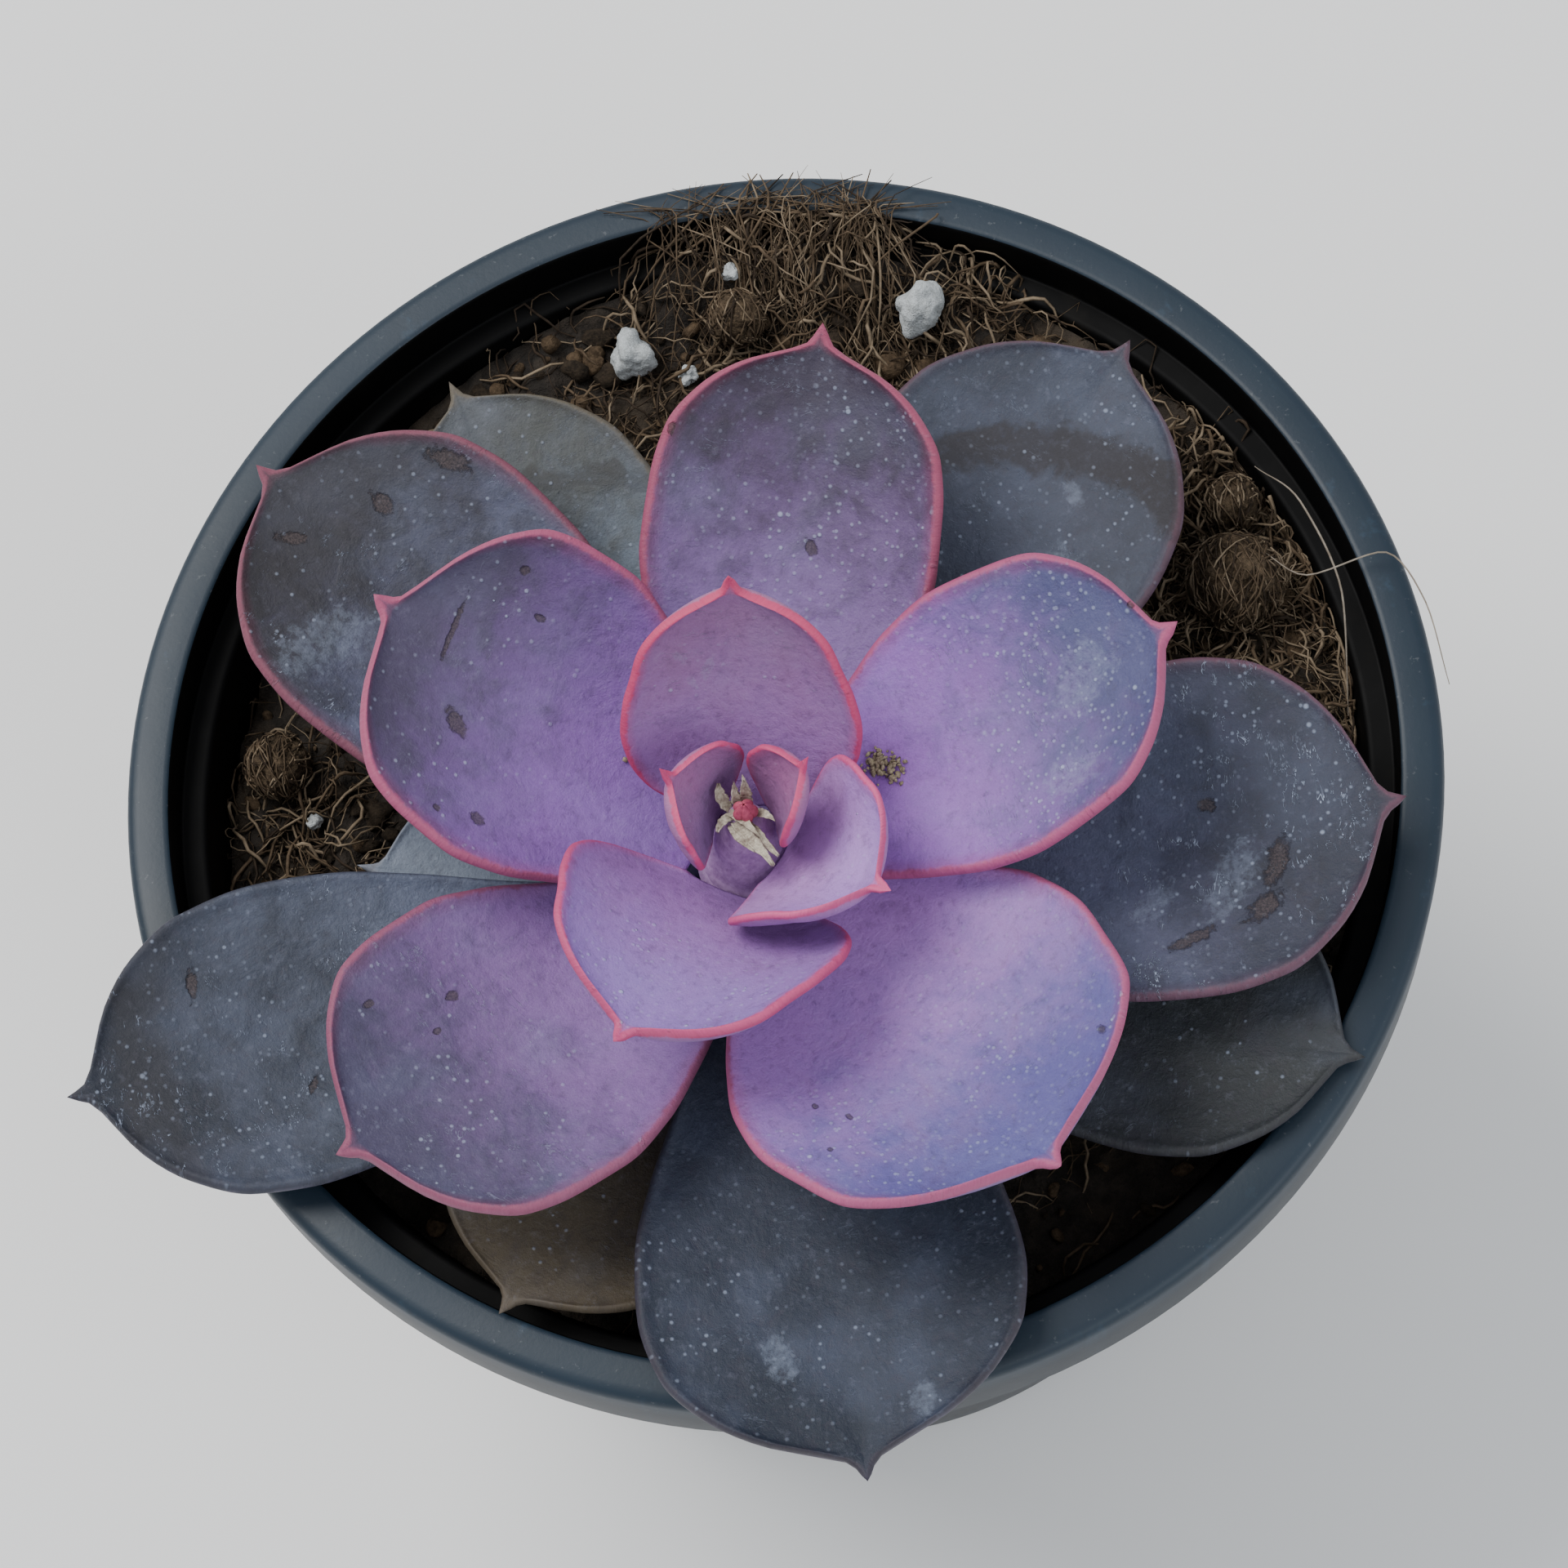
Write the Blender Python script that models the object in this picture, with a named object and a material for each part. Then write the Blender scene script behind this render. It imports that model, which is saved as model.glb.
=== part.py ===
"""A potted rosette succulent: a round plastic nursery pot, its growing medium and the plant.

Metres, +Z up. The origin is the centre of the pot's base, where it stands.
Each leaf is one solid. The leaves leave the stem one above another on a spiral.
"""

import math

import bmesh
import bpy
import numpy as np
from mathutils import Matrix, Vector

MM = 0.001

# Pot
POT_HEIGHT = 96 * MM
RIM_RADIUS = 60 * MM
RIM_WIDTH = 4.1 * MM
SKIRT_DEPTH = 9 * MM
WALL = 1.2 * MM
THROAT_DEPTH = 5 * MM
LEDGE_WIDTH = 2.4 * MM
BASE_RADIUS = 43 * MM
FOOT_WIDTH = 5 * MM
FOOT_HEIGHT = 2.5 * MM
PAD_RADIUS = 13 * MM
FLOOR = 1.6 * MM
CORNER = 0.6 * MM
DRAIN_COUNT = 8
DRAIN_RADIUS = 4 * MM
DRAIN_CIRCLE = 25.5 * MM
POT_SEGMENTS = 48

# Space left between pieces that touch
GAP = 0.3 * MM

# Growing medium: height of its surface below the rim, and how much it rises towards the back
SOIL_DROP = 12 * MM
SOIL_SEGMENTS = 40
SOIL_RINGS = 5
LUMP_CLEARANCE = 0.5
CROWN_DEPTH = 16 * MM

# Plant
PLANT_X = -1.5 * MM
PLANT_Y = -13 * MM
STEM_LEAN = 0.12
STEM_RADIUS = 4.6 * MM
STEM_TOP_RADIUS = 2.2 * MM
STEM_TAPER = 0.35
TOP_LEAF_HEIGHT = POT_HEIGHT + 13 * MM
LEAF_STEP = 1.15 * MM
EDGE = 0.5 * MM

# Every leaf's blade along its length:
# (share of length, half-width of a spoon-shaped, an oval and a round leaf, thickness)
STATIONS = (
    (0.00, 0.24, 0.30, 0.42, 0.60),
    (0.05, 0.34, 0.42, 0.66, 0.85),
    (0.15, 0.44, 0.58, 0.92, 0.98),
    (0.28, 0.58, 0.78, 1.06, 1.00),
    (0.42, 0.78, 0.94, 1.11, 1.00),
    (0.56, 0.94, 1.00, 1.07, 0.95),
    (0.69, 1.00, 0.96, 0.97, 0.85),
    (0.80, 0.94, 0.90, 0.88, 0.72),
    (0.89, 0.74, 0.72, 0.71, 0.56),
    (0.95, 0.48, 0.48, 0.48, 0.40),
    (0.985, 0.21, 0.21, 0.21, 0.26),
    (1.00, 0.09, 0.09, 0.09, 0.14),
)
TIP_LENGTH = 2.2 * MM
# Places across the blade, from just inside one margin to just inside the other
ACROSS = (0.93, 0.5, 0.0, -0.5, -0.93)

# Leaves from the youngest to the oldest. Heading 0 is +X and 90 is +Y. The last value is the
# leaf's shape: 0 is spoon-shaped, 1 oval and 2 round.
# name, heading, length, width, thickness, start pitch, end pitch, cup, sway, roll, shape
LEAVES = (
    ("heart_leaf_1", 22, 11.5, 9, 1.2, 78, 60, 55, 0, 0, 1.4),
    ("heart_leaf_2", 162, 11.5, 12, 1.3, 78, 60, 55, 0, 0, 1.4),
    ("heart_leaf_3", 331, 15, 17.5, 1.7, 50, 24, 58, -6, 0, 2.0),
    ("crown_leaf_1", 91, 25, 19.5, 2.4, 48, 70, 38, 0, 0, 2.0),
    ("crown_leaf_2", 250, 24.7, 24.5, 2.5, 48, 25, 42, -10, 0, 2.0),
    ("middle_leaf_1", 25, 39, 26.5, 3.4, 14, 30, 28, -5, 0, 0.9),
    ("middle_leaf_2", 150.5, 36.5, 31.5, 3.2, 21, 33, 33, -4, 0, 0.8),
    ("middle_leaf_3", 310.5, 38, 36, 3.4, 12, 26, 24, 2, -5, 1.1),
    ("middle_leaf_4", 84, 45, 28, 3.4, 13, 30, 30, -5, 0, 0.7),
    ("middle_leaf_5", 221, 41, 31, 3.4, 12, 20, 24, -4, 0, 0.7),
    ("outer_leaf_1", 4, 53, 32, 3.4, 4, 10, 18, 3, 0, 0.3),
    ("outer_leaf_2", 140, 56, 31, 3.4, 6, 14, 22, 0, 0, 0.3),
    ("outer_leaf_3", 281, 50, 34, 3.2, 5, 8, 14, 0, 0, 0.2),
    ("outer_leaf_4", 58, 57, 31, 3.2, 7, 13, 18, -4, 0, 0.0),
    ("outer_leaf_5", 197.5, 59, 29, 3.0, 7, 9, 14, 1, 0, 0.1),
    ("outer_leaf_6", 343, 51, 27, 2.8, 6, 8, 14, 1, 0, 0.3),
    ("old_leaf_1", 121, 54, 25, 2.4, 9, 13, 12, -1, 0, 0.1),
    ("old_leaf_2", 240, 39.5, 26, 1.8, 10, 13, 10, 0, 0, 0.2),
    ("old_leaf_3", 172, 33, 20, 2.0, 6, 10, 12, 0, 0, 0.3),
)

# White grains in the medium: heading, distance from the pot's axis, radius
GRAINS = (
    (109, 46.5, 2.2),
    (75, 49.0, 2.5),
    (96, 51.0, 1.1),
    (103, 43.0, 1.1),
    (182, 44.5, 0.8),
    (27, 49.5, 0.9),
)

# Clods of bark and coir that lie in the medium: heading, distance, radius
CLODS = (
    (24, 46.0, 4.6),
    (33, 50.0, 3.0),
    (96, 47.0, 3.0),
    (176, 48.0, 3.2),
    (318, 44.0, 4.2),
)

# Dry bracts at the heart of the rosette: heading, length, start pitch, end pitch
BRACTS = (
    (70, 3.8, 80, 60),
    (140, 3.2, 80, 40),
    (285, 4.6, 55, 0),
)


def clear_scene():
    for obj in list(bpy.data.objects):
        bpy.data.objects.remove(obj)


def make_material(name, colour, roughness):
    material = bpy.data.materials.new(name)
    material.use_nodes = True
    shader = material.node_tree.nodes["Principled BSDF"]
    shader.inputs["Base Color"].default_value = (*colour, 1)
    shader.inputs["Roughness"].default_value = roughness
    shader.inputs["Metallic"].default_value = 0
    return material


def add_object(name, bm, material, smooth_angle=40):
    """Turns a bmesh into a named object with its material, faces out and round parts smooth."""
    bmesh.ops.recalc_face_normals(bm, faces=bm.faces)
    mesh = bpy.data.meshes.new(name)
    bm.to_mesh(mesh)
    bm.free()
    mesh.shade_smooth()
    mesh.set_sharp_from_angle(angle=math.radians(smooth_angle))
    mesh.materials.append(material)
    obj = bpy.data.objects.new(name, mesh)
    bpy.context.collection.objects.link(obj)
    return obj


def revolve(profile, segments):
    """A closed solid of revolution from (radius, height) points; the ends lie on the axis."""
    bm = bmesh.new()
    verts = [bm.verts.new((radius, 0, height)) for radius, height in profile]
    edges = [bm.edges.new(pair) for pair in zip(verts, verts[1:])]
    turn = 2 * math.pi
    bmesh.ops.spin(
        bm, geom=verts + edges, axis=(0, 0, 1), cent=(0, 0, 0), angle=turn, steps=segments, use_merge=True
    )
    bmesh.ops.remove_doubles(bm, verts=bm.verts, dist=0.00001)
    return bm


def polar(heading, distance, height=0):
    turn = math.radians(heading)
    return Vector((distance * math.cos(turn), distance * math.sin(turn), height))


# ---------------------------------------------------------------- pot


def wall_radius(height):
    """Outer radius of the pot's tapered wall."""
    top = POT_HEIGHT - THROAT_DEPTH - WALL
    ledge = RIM_RADIUS - RIM_WIDTH - LEDGE_WIDTH + WALL
    return BASE_RADIUS + (ledge - BASE_RADIUS) * height / top


def pot_profile():
    """From the axis under the base, up the outside, over the rim and down the inside."""
    throat = RIM_RADIUS - RIM_WIDTH
    ledge = throat - LEDGE_WIDTH
    ledge_top = POT_HEIGHT - THROAT_DEPTH
    ledge_under = ledge_top - WALL
    floor_top = FOOT_HEIGHT + FLOOR
    return (
        (0, 0),
        (PAD_RADIUS, 0),
        (PAD_RADIUS + FOOT_HEIGHT, FOOT_HEIGHT),
        (BASE_RADIUS - FOOT_WIDTH - CORNER, FOOT_HEIGHT),
        (BASE_RADIUS - FOOT_WIDTH, 0),
        (BASE_RADIUS - CORNER, 0),
        (wall_radius(CORNER), CORNER),
        (wall_radius(ledge_under), ledge_under),
        (throat + WALL, ledge_under),
        (throat + WALL, POT_HEIGHT - WALL),
        (RIM_RADIUS - WALL, POT_HEIGHT - WALL),
        (RIM_RADIUS - WALL, POT_HEIGHT - SKIRT_DEPTH),
        (RIM_RADIUS, POT_HEIGHT - SKIRT_DEPTH),
        (RIM_RADIUS, POT_HEIGHT - 2 * CORNER),
        (RIM_RADIUS - 0.3 * CORNER, POT_HEIGHT - CORNER),
        (RIM_RADIUS - CORNER, POT_HEIGHT - 0.3 * CORNER),
        (RIM_RADIUS - 2 * CORNER, POT_HEIGHT),
        (throat + CORNER, POT_HEIGHT),
        (throat, POT_HEIGHT - CORNER),
        (throat, ledge_top),
        (ledge, ledge_top),
        (wall_radius(floor_top) - WALL, floor_top),
        (0, floor_top),
    )


def build_pot(material):
    pot = add_object("pot", revolve(pot_profile(), POT_SEGMENTS), material)
    bm = bmesh.new()
    for i in range(DRAIN_COUNT):
        place = Matrix.Translation(polar(360 / DRAIN_COUNT * (i + 0.5), DRAIN_CIRCLE, FOOT_HEIGHT + FLOOR / 2))
        bmesh.ops.create_cone(
            bm,
            cap_ends=True,
            segments=12,
            radius1=DRAIN_RADIUS,
            radius2=DRAIN_RADIUS,
            depth=4 * FLOOR,
            matrix=place,
        )
    cutter = add_object("drain_cutter", bm, material)
    cutter.hide_render = True
    cutter.display_type = "WIRE"
    cut = pot.modifiers.new("Drain holes", "BOOLEAN")
    cut.operation = "DIFFERENCE"
    cut.solver = "EXACT"
    cut.object = cutter


# ---------------------------------------------------------------- growing medium


def soil_height(x, y):
    """Surface of the medium: low at the front left, heaped up at the back and the right."""
    back = max(0.0, y / (50 * MM))
    right = max(0.0, x / (50 * MM))
    lumps = math.sin(x / (6.1 * MM) + 1.3) * math.sin(y / (7.3 * MM) + 0.4)
    lumps += 0.5 * math.sin((x + y) / (3.7 * MM)) * math.sin((x - y) / (4.3 * MM))
    rise = 6.0 * MM * back ** 2 + 3.0 * MM * right ** 2
    return POT_HEIGHT - SOIL_DROP + rise + 0.7 * MM * lumps


def build_soil(material):
    """A plug that fills the pot, with a socket round the foot of the stem."""
    floor = FOOT_HEIGHT + FLOOR + GAP
    bottom_radius = wall_radius(floor) - WALL - GAP
    bm = bmesh.new()
    level = POT_HEIGHT - SOIL_DROP
    crown = stem_centre(level)
    socket = STEM_RADIUS + 2 * GAP
    rings = []
    for depth in (CROWN_DEPTH, 0):
        ring = []
        for i in range(SOIL_SEGMENTS):
            around = polar(360 * i / SOIL_SEGMENTS, socket)
            point = crown + around
            drop = soil_height(point.x, point.y) - depth
            point = stem_centre(drop) + around
            ring.append(point)
        rings.append(ring)
    for step in range(1, SOIL_RINGS + 1):
        share = step / SOIL_RINGS
        ring = []
        for i in range(SOIL_SEGMENTS):
            heading = 360 * i / SOIL_SEGMENTS
            inner = crown + polar(heading, socket)
            outer = polar(heading, 1)
            height = soil_height(outer.x * 51 * MM, outer.y * 51 * MM)
            outer *= wall_radius(height) - WALL - GAP
            point = inner.lerp(outer, share)
            point.z = soil_height(point.x, point.y)
            ring.append(point)
        rings.append(ring)
    rings.append([polar(360 * i / SOIL_SEGMENTS, bottom_radius, floor) for i in range(SOIL_SEGMENTS)])
    loops = [[bm.verts.new(point) for point in ring] for ring in rings]
    for low, high in zip(loops, loops[1:]):
        for i in range(SOIL_SEGMENTS):
            j = (i + 1) % SOIL_SEGMENTS
            bm.faces.new((low[i], low[j], high[j], high[i]))
    bm.faces.new(loops[0])
    bm.faces.new(loops[-1])
    return add_object("growing_medium", bm, material, 60)


def build_lump(name, heading, distance, radius, turn, material):
    """A rounded, slightly flattened lump that lies on the medium."""
    place = polar(heading, distance * MM)
    place.z = soil_height(place.x, place.y) + (0.75 * radius + LUMP_CLEARANCE) * MM
    bm = bmesh.new()
    bmesh.ops.create_icosphere(bm, subdivisions=2 if radius > 1.5 else 1, radius=radius * MM)
    squash = Matrix.Diagonal((1.0, 0.85, 0.75, 1.0))
    turned = Matrix.Rotation(math.radians(turn), 4, "Z")
    bmesh.ops.transform(bm, matrix=Matrix.Translation(place) @ turned @ squash, verts=bm.verts)
    return add_object(name, bm, material, 80)


def build_clods(material):
    for i, (heading, distance, radius) in enumerate(CLODS):
        build_lump(f"clod_{i + 1}", heading, distance, radius, 70 * i, material)


def build_grains(material):
    for i, (heading, distance, radius) in enumerate(GRAINS):
        build_lump(f"white_grain_{i + 1}", heading, distance, radius, 47 * i, material)


# ---------------------------------------------------------------- plant


def stem_centre(height):
    """The stem's middle at a height: it leans a little towards the back."""
    return Vector((PLANT_X, PLANT_Y + STEM_LEAN * (height - POT_HEIGHT), height))


def stem_radius(height):
    return min(STEM_RADIUS, STEM_TOP_RADIUS + STEM_TAPER * (TOP_LEAF_HEIGHT - height))


def build_stem(material):
    """A short stem: its foot in the medium, its top in the heart of the rosette."""
    foot = POT_HEIGHT - SOIL_DROP - CROWN_DEPTH + 2 * MM
    top = TOP_LEAF_HEIGHT + 1 * MM
    shoulder = TOP_LEAF_HEIGHT - (STEM_RADIUS - STEM_TOP_RADIUS) / STEM_TAPER
    profile = (
        (0, foot),
        (STEM_RADIUS * 0.8, foot),
        (STEM_RADIUS, foot + 2 * MM),
        (STEM_RADIUS, shoulder),
        (stem_radius(top), top),
        (stem_radius(top) * 0.7, top + 0.8 * MM),
        (0, top + 1 * MM),
    )
    bm = revolve(profile, 20)
    for vert in bm.verts:
        centre = stem_centre(vert.co.z)
        vert.co.x += centre.x
        vert.co.y += centre.y
    return add_object("stem", bm, material, 60)


def midrib(leaf, height, steps=60):
    """Function from share of length to (point, tangent, side, normal) along the leaf's middle."""
    _, heading, length, _, _, pitch_0, pitch_1, _, sway, roll, _ = leaf

    def direction(share):
        turn = math.radians(heading + sway * share)
        rise = math.radians(pitch_0 + (pitch_1 - pitch_0) * share)
        return Vector((math.cos(turn) * math.cos(rise), math.sin(turn) * math.cos(rise), math.sin(rise)))

    point = stem_centre(height) + polar(heading, stem_radius(height) + GAP)
    points = [point.copy()]
    for i in range(steps):
        point = point + direction((i + 0.5) / steps) * (length * MM / steps)
        points.append(point.copy())

    def at(share):
        place = share * steps
        low = min(int(place), steps - 1)
        turn = math.radians(heading + sway * share)
        along = direction(share)
        side = Vector((-math.sin(turn), math.cos(turn), 0))
        side = Matrix.Rotation(math.radians(roll) * share, 3, along) @ side
        return points[low].lerp(points[low + 1], place - low), side, along.cross(side)

    return at


def section_point(place, half_width, bend, thickness, across, under):
    """A point of the leaf's cross-section, whose blade bends up towards both margins."""
    point, side, normal = place
    turn = bend * across
    radius = half_width / bend
    up = normal * math.cos(turn) - side * math.sin(turn)
    point = point + side * (radius * math.sin(turn)) + normal * (radius * (1 - math.cos(turn)))
    if abs(across) == 1:
        return point - up * EDGE * 0.5
    if under:
        depth = EDGE + thickness * (1 - abs(across) ** 2.2)
        return point - up * min(depth, half_width * 0.9 + EDGE * 0.5)
    return point


def build_leaf(leaf, height, material):
    """One leaf: rings of points round its cross-section, from the stem to the pointed tip."""
    name, _, length, width, thickness, _, _, cup, _, _, shape = leaf
    at = midrib(leaf, height)
    order = [(1.0, False)]
    order += [(across, False) for across in ACROSS]
    order += [(-1.0, False)]
    order += [(across, True) for across in reversed(ACROSS)]
    bm = bmesh.new()
    rings = []
    for share, *widths, depth in STATIONS:
        half_width = float(np.interp(shape, (0, 1, 2), widths)) * width * MM / 2
        bend = math.radians(cup) * (0.35 + 0.65 * math.sin(math.pi / 2 * min(1, share / 0.6)))
        place = at(share * (1 - TIP_LENGTH / (length * MM)))
        ring = []
        for across, under in order:
            point = section_point(place, half_width, bend, thickness * depth * MM, across, under)
            ring.append(bm.verts.new(point))
        rings.append(ring)
    count = len(order)
    for low, high in zip(rings, rings[1:]):
        for i in range(count):
            j = (i + 1) % count
            bm.faces.new((low[i], low[j], high[j], high[i]))
    tip = bm.verts.new(at(1.0)[0])
    for i in range(count):
        bm.faces.new((rings[-1][i], rings[-1][(i + 1) % count], tip))
    bm.faces.new(rings[0])
    return add_object(name, bm, material, 60)


def build_bud(material):
    """A small bud that stands on the tip of the stem."""
    base = TOP_LEAF_HEIGHT + 2 * MM + GAP
    profile = ((0, 0), (0.6, 0.1), (1.1, 1.2), (1.2, 2.2), (0.8, 3.4), (0, 4.4))
    bm = revolve([(radius * MM, height * MM) for radius, height in profile], 10)
    lean = Matrix.Rotation(math.radians(18), 4, "Y")
    place = Matrix.Translation(stem_centre(base))
    bmesh.ops.transform(bm, matrix=place @ lean, verts=bm.verts)
    return add_object("flower_bud", bm, material, 60)


def build_bracts(material):
    """Thin dry bracts round the bud."""
    for i, (heading, length, pitch_0, pitch_1) in enumerate(BRACTS):
        bm = bmesh.new()
        point = stem_centre(TOP_LEAF_HEIGHT + 2.1 * MM) + polar(heading, 1.6 * MM)
        side = polar(heading + 90, 1)
        rings = []
        for step, width in enumerate((0.7, 0.9, 0.7, 0.35)):
            pitch = math.radians(pitch_0 + (pitch_1 - pitch_0) * step / 3)
            along = polar(heading, math.cos(pitch)) + Vector((0, 0, math.sin(pitch)))
            normal = along.cross(side)
            corners = ((1, 0.15), (0, 0.3), (-1, 0.15), (-1, -0.15), (0, -0.1), (1, -0.15))
            rings.append([bm.verts.new(point + (side * a * width + normal * b) * MM) for a, b in corners])
            point = point + along * length * MM / 3
        for low, high in zip(rings, rings[1:]):
            for k in range(6):
                bm.faces.new((low[k], low[(k + 1) % 6], high[(k + 1) % 6], high[k]))
        bm.faces.new(rings[0])
        bm.faces.new(rings[-1])
        add_object(f"dry_bract_{i + 1}", bm, material, 60)


def main():
    clear_scene()
    plastic = make_material("pot_plastic", (0.04, 0.055, 0.07), 0.5)
    medium = make_material("growing_medium", (0.05, 0.035, 0.025), 0.95)
    grain = make_material("white_grain", (0.75, 0.73, 0.70), 0.9)
    clod = make_material("clod", (0.11, 0.075, 0.045), 0.95)
    bud = make_material("flower_bud", (0.60, 0.16, 0.22), 0.6)
    bract = make_material("dry_bract", (0.45, 0.38, 0.26), 0.85)
    stem = make_material("stem", (0.35, 0.28, 0.22), 0.8)
    young = make_material("young_leaf", (0.36, 0.26, 0.46), 0.5)
    grown = make_material("grown_leaf", (0.22, 0.20, 0.34), 0.5)
    outer = make_material("outer_leaf", (0.11, 0.12, 0.18), 0.55)
    old = make_material("old_leaf", (0.20, 0.22, 0.20), 0.65)
    looks = {"heart": young, "crown": young, "middle": grown, "outer": outer, "old": old}
    build_pot(plastic)
    build_soil(medium)
    build_grains(grain)
    build_clods(clod)
    build_stem(stem)
    build_bud(bud)
    build_bracts(bract)
    for i, leaf in enumerate(LEAVES):
        build_leaf(leaf, TOP_LEAF_HEIGHT - i * LEAF_STEP, looks[leaf[0].split("_")[0]])


main()
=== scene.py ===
"""A potted rosette succulent: nursery pot, growing medium, stem, leaves and what lies on them."""

import math
import random

import bmesh
import bpy
import numpy as np
from bpy.props import FloatProperty, FloatVectorProperty, IntProperty, PointerProperty
from mathutils import Matrix, Vector, noise


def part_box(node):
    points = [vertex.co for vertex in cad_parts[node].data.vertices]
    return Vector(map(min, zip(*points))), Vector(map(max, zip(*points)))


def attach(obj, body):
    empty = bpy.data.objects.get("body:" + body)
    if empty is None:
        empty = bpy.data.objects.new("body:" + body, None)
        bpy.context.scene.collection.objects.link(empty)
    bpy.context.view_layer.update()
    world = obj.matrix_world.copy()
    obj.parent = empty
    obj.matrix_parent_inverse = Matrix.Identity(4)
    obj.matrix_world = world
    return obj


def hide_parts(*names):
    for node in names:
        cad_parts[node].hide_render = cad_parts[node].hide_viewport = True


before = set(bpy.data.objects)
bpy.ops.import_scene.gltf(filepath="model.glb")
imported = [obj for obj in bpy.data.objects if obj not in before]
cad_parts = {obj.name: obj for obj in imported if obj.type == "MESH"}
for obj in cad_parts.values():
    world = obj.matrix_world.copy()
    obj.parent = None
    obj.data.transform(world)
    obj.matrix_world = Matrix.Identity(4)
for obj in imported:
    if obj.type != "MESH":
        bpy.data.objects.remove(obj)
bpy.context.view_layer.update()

bl_info = {
    "name": "Potted rosette succulent",
    "version": (1, 0, 0),
    "blender": (4, 5, 0),
    "location": "View3D > Sidebar > Succulent",
    "description": "Builds a potted rosette succulent, piece by piece, over its packed model",
    "category": "Add Mesh",
}

MM = 0.001
BODY = "root"

POT_LOW, POT_HIGH = (Vector(corner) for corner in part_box("pot"))
POT_HEIGHT = POT_HIGH.z
RIM_RADIUS = (POT_HIGH.x - POT_LOW.x) / 2

# The pot's section
RIM_WIDTH = 4.1 * MM
SKIRT_DEPTH = 9 * MM
WALL = 1.2 * MM
THROAT_DEPTH = 5 * MM
LEDGE_WIDTH = 2.4 * MM
BASE_RADIUS = 43 * MM
FOOT_WIDTH = 5 * MM
FOOT_HEIGHT = 2.5 * MM
PAD_RADIUS = 13 * MM
FLOOR = 1.6 * MM
DRAIN_COUNT = 8
DRAIN_RADIUS = 4 * MM
DRAIN_CIRCLE = 25.5 * MM
SOIL_DROP = 12 * MM

# The stem, and where leaves leave it
PLANT_X = -1.5 * MM
PLANT_Y = -13 * MM
STEM_LEAN = 0.12
STEM_RADIUS = 4.6 * MM
STEM_TOP_RADIUS = 2.2 * MM
STEM_TAPER = 0.35
TOP_LEAF_HEIGHT = POT_HEIGHT + 13 * MM
LEAF_STEP = 1.15 * MM
GAP = 0.3 * MM
TIP_LENGTH = 2.2 * MM

# A blade along its length: share of length, half-width if spoon-shaped, oval and round, thickness
STATIONS = (
    (0.00, 0.24, 0.30, 0.42, 0.60),
    (0.05, 0.34, 0.42, 0.66, 0.85),
    (0.15, 0.44, 0.58, 0.92, 0.98),
    (0.28, 0.58, 0.78, 1.06, 1.00),
    (0.42, 0.78, 0.94, 1.11, 1.00),
    (0.56, 0.94, 1.00, 1.07, 0.95),
    (0.69, 1.00, 0.96, 0.97, 0.85),
    (0.80, 0.94, 0.90, 0.88, 0.72),
    (0.89, 0.74, 0.72, 0.71, 0.56),
    (0.95, 0.48, 0.48, 0.48, 0.40),
    (0.985, 0.21, 0.21, 0.21, 0.26),
    (1.00, 0.09, 0.09, 0.09, 0.14),
)

# Leaves from the youngest to the oldest, as they leave the stem: name, heading, length, width,
# thickness, start pitch, end pitch, cup, sway, roll (degrees and millimetres), and shape: 0 is
# spoon-shaped, 1 oval and 2 round
LEAVES = (
    ("heart_leaf_1", 22, 11.5, 9, 1.2, 78, 60, 55, 0, 0, 1.4),
    ("heart_leaf_2", 162, 11.5, 12, 1.3, 78, 60, 55, 0, 0, 1.4),
    ("heart_leaf_3", 331, 15, 17.5, 1.7, 50, 24, 58, -6, 0, 2.0),
    ("crown_leaf_1", 91, 25, 19.5, 2.4, 48, 70, 38, 0, 0, 2.0),
    ("crown_leaf_2", 250, 24.7, 24.5, 2.5, 48, 25, 42, -10, 0, 2.0),
    ("middle_leaf_1", 25, 39, 26.5, 3.4, 14, 30, 28, -5, 0, 0.9),
    ("middle_leaf_2", 150.5, 36.5, 31.5, 3.2, 21, 33, 33, -4, 0, 0.8),
    ("middle_leaf_3", 310.5, 38, 36, 3.4, 12, 26, 24, 2, -5, 1.1),
    ("middle_leaf_4", 84, 45, 28, 3.4, 13, 30, 30, -5, 0, 0.7),
    ("middle_leaf_5", 221, 41, 31, 3.4, 12, 20, 24, -4, 0, 0.7),
    ("outer_leaf_1", 4, 53, 32, 3.4, 4, 10, 18, 3, 0, 0.3),
    ("outer_leaf_2", 140, 56, 31, 3.4, 6, 14, 22, 0, 0, 0.3),
    ("outer_leaf_3", 281, 50, 34, 3.2, 5, 8, 14, 0, 0, 0.2),
    ("outer_leaf_4", 58, 57, 31, 3.2, 7, 13, 18, -4, 0, 0.0),
    ("outer_leaf_5", 197.5, 59, 29, 3.0, 7, 9, 14, 1, 0, 0.1),
    ("outer_leaf_6", 343, 51, 27, 2.8, 6, 8, 14, 1, 0, 0.3),
    ("old_leaf_1", 121, 54, 25, 2.4, 9, 13, 12, -1, 0, 0.1),
    ("old_leaf_2", 240, 39.5, 26, 1.8, 10, 13, 10, 0, 0, 0.2),
    ("old_leaf_3", 172, 33, 20, 2.0, 6, 10, 12, 0, 0, 0.3),
)

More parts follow.
